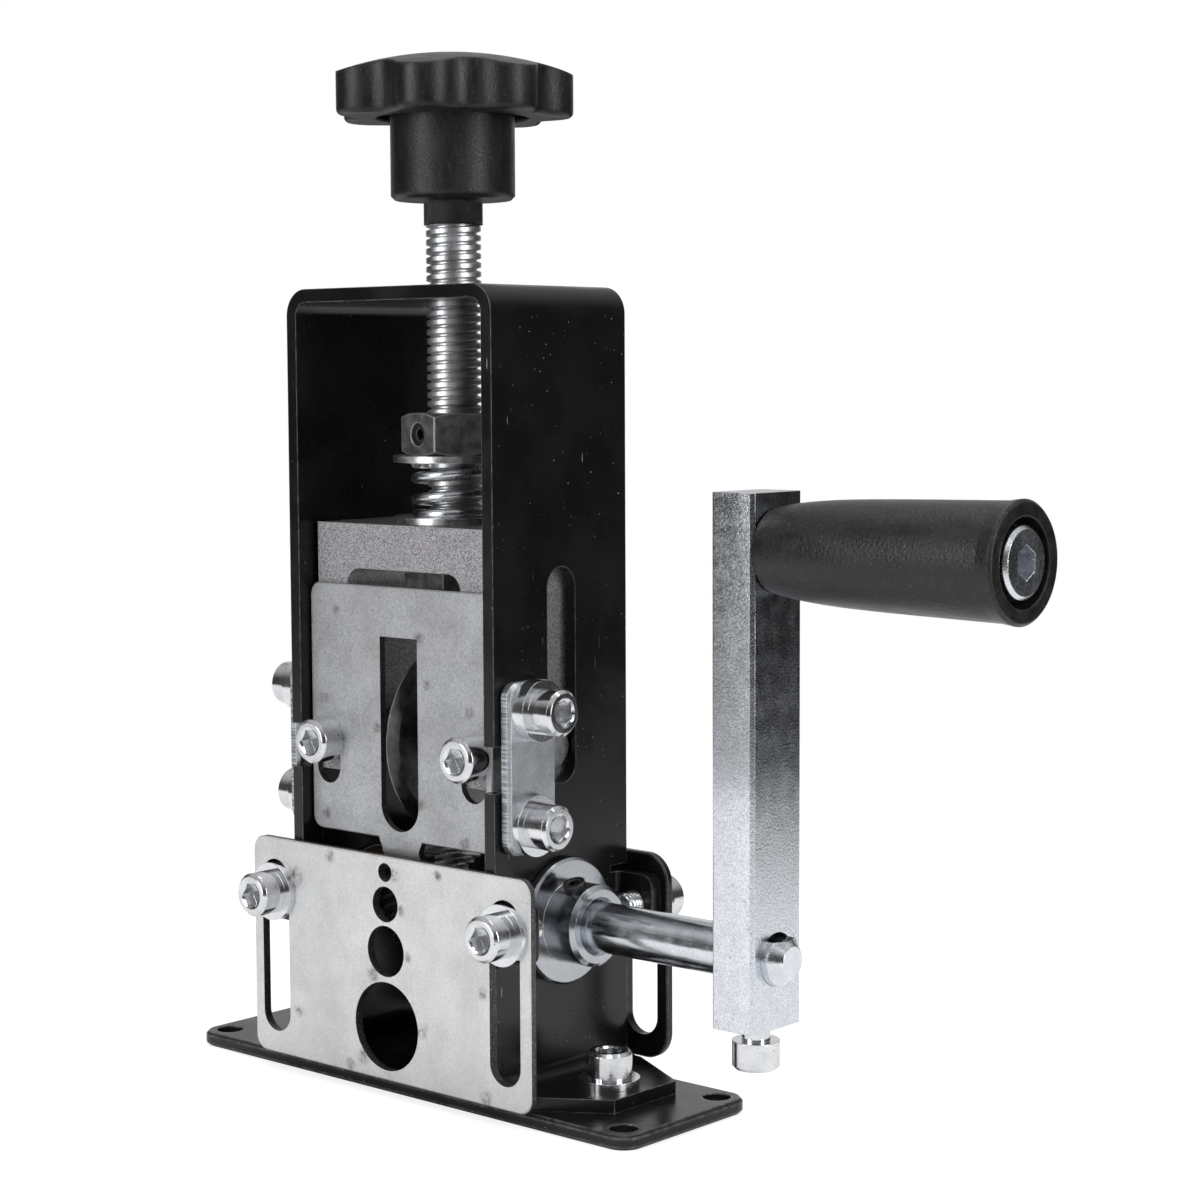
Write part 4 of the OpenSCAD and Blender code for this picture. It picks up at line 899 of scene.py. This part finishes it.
class WIRESTRIPPER_OT_studio(bpy.types.Operator):
    """Lay a pale floor and set soft lamps in front, at the right and above"""

    bl_idname = "wirestripper.studio"
    bl_label = "Studio"

    def execute(self, context):
        studio = context.scene.wirestripper_studio
        bm = bmesh.new()
        bmesh.ops.create_grid(bm, x_segments=8, y_segments=8, size=FLOOR_HALF)
        bmesh.ops.translate(bm, verts=bm.verts, vec=(0, 0, CAD_BOX[0][2] - FLOOR_GAP))
        floor = finished_mesh("floor", bm, self.floor_material(studio.backdrop))
        self.backdrop(context.scene, studio.backdrop)
        for name, place, size, power in LAMPS:
            lamp(name, place, size, power * studio.lamps)
        context.scene.view_settings.view_transform = "Standard"
        return {"FINISHED"}

    def floor_material(self, colour):
        """White to the camera; to metal pale round the object and dark beyond, with a painted
        shadow at its base
        """
        f = Finish("pale_floor")
        reach = f.add("VectorMath", {0: f.place, 1: PALE_MIDDLE}, operation="DISTANCE")
        near = f.between(reach.outputs["Value"], 0.72, 0.46)
        wide = f.between(reach.outputs["Value"], 0.62, 0.30)
        # painted shadow: darker to metal and light in an oval twice as wide as deep, as the base
        # plate is
        base_shadow_oval = f.add("VectorMath", {0: f.moved((0.5, 1, 0))}, operation="LENGTH")
        near = f.times(near, f.between(base_shadow_oval.outputs["Value"], 0.026, 0.046, 0.25, 1.0))
        path = f.add("LightPath").outputs
        seen = path["Is Camera Ray"]
        mirrored = f.times(near, f.most(path["Is Glossy Ray"], path["Is Transmission Ray"]))
        glow = f.most(f.times(seen, f.between(wide, 0, 1, 1.0, 0.74)), f.times(mirrored, 0.35))
        tone = f.blend(seen, f.blend(near, FLOOR_FAR, FLOOR_NEAR),
                       f.blend(wide, FLOOR_UNSHADED, FLOOR_SHADED))
        diffuse = f.add("BsdfDiffuse", {"Color": tone})
        glowing = f.add("Emission", {"Color": colour, "Strength": glow})
        both = f.add("AddShader", {0: diffuse.outputs[0], 1: glowing.outputs[0]})
        f.feed(f.surface, both.outputs[0])
        return f.material

    def backdrop(self, scene, colour):
        """White to the camera, grey to matt faces; to metal dark low down, pale behind"""
        world = scene.world or bpy.data.worlds.new("studio")
        scene.world = world
        world.use_nodes = True
        w = NodeBuilder(world.node_tree)
        path = w.add("LightPath").outputs
        place = w.add("TexCoord").outputs["Generated"]
        above = w.between(w.add("SeparateXYZ", {0: place}).outputs["Z"], 0.25, 0.75, 0.05, 0.55)
        behind = w.add("VectorMath", {0: place, 1: AWAY_FROM_CAMERA}, operation="DOT_PRODUCT")
        pale = w.between(behind.outputs["Value"], 0.75, 0.93, 0.0, 0.75)
        matt = w.level(path["Is Glossy Ray"], MATT_LIGHT, w.most(above, pale))
        seen = w.level(path["Is Camera Ray"], matt, 1.0)
        shade = w.add("Background", {"Color": colour, "Strength": seen})
        w.add("OutputWorld", {"Surface": shade.outputs[0]})


OPERATORS = (
    WIRESTRIPPER_OT_studio,
    WIRESTRIPPER_OT_camera,
    WIRESTRIPPER_OT_paint,
    WIRESTRIPPER_OT_zinc,
    WIRESTRIPPER_OT_sheet,
    WIRESTRIPPER_OT_steel,
    WIRESTRIPPER_OT_plastic,
    WIRESTRIPPER_OT_press_screw,
    WIRESTRIPPER_OT_guide_screws,
    WIRESTRIPPER_OT_spring,
)


class WIRESTRIPPER_PT_panel(bpy.types.Panel):
    """Lists the wire stripper's operators and settings"""

    bl_idname = "WIRESTRIPPER_PT_panel"
    bl_label = "Wire stripper"
    bl_space_type = "VIEW_3D"
    bl_region_type = "UI"
    bl_category = "Wire stripper"

    def draw(self, context):
        for operator in OPERATORS:
            self.layout.operator(operator.bl_idname)
        for group in (context.scene.wirestripper_threads, context.scene.wirestripper_colours,
                      context.scene.wirestripper_studio):
            box = self.layout.box()
            for key in group.__annotations__:
                box.prop(group, key)


GROUPS = (ThreadSizes, FinishColours, StudioSettings)


def register():
    """Registers the settings, the operators and the panel"""
    for kind in (*GROUPS, *OPERATORS, WIRESTRIPPER_PT_panel):
        bpy.utils.register_class(kind)
    bpy.types.Scene.wirestripper_threads = bpy.props.PointerProperty(type=ThreadSizes)
    bpy.types.Scene.wirestripper_colours = bpy.props.PointerProperty(type=FinishColours)
    bpy.types.Scene.wirestripper_studio = bpy.props.PointerProperty(type=StudioSettings)


def unregister():
    """Takes everything away that register put in"""
    del bpy.types.Scene.wirestripper_studio
    del bpy.types.Scene.wirestripper_colours
    del bpy.types.Scene.wirestripper_threads
    for kind in reversed((*GROUPS, *OPERATORS, WIRESTRIPPER_PT_panel)):
        bpy.utils.unregister_class(kind)


def main():
    """Runs every operator in order"""
    register()
    for operator in OPERATORS:
        section, name = operator.bl_idname.split(".")
        getattr(getattr(bpy.ops, section), name)()


if __name__ == "__main__":
    main()
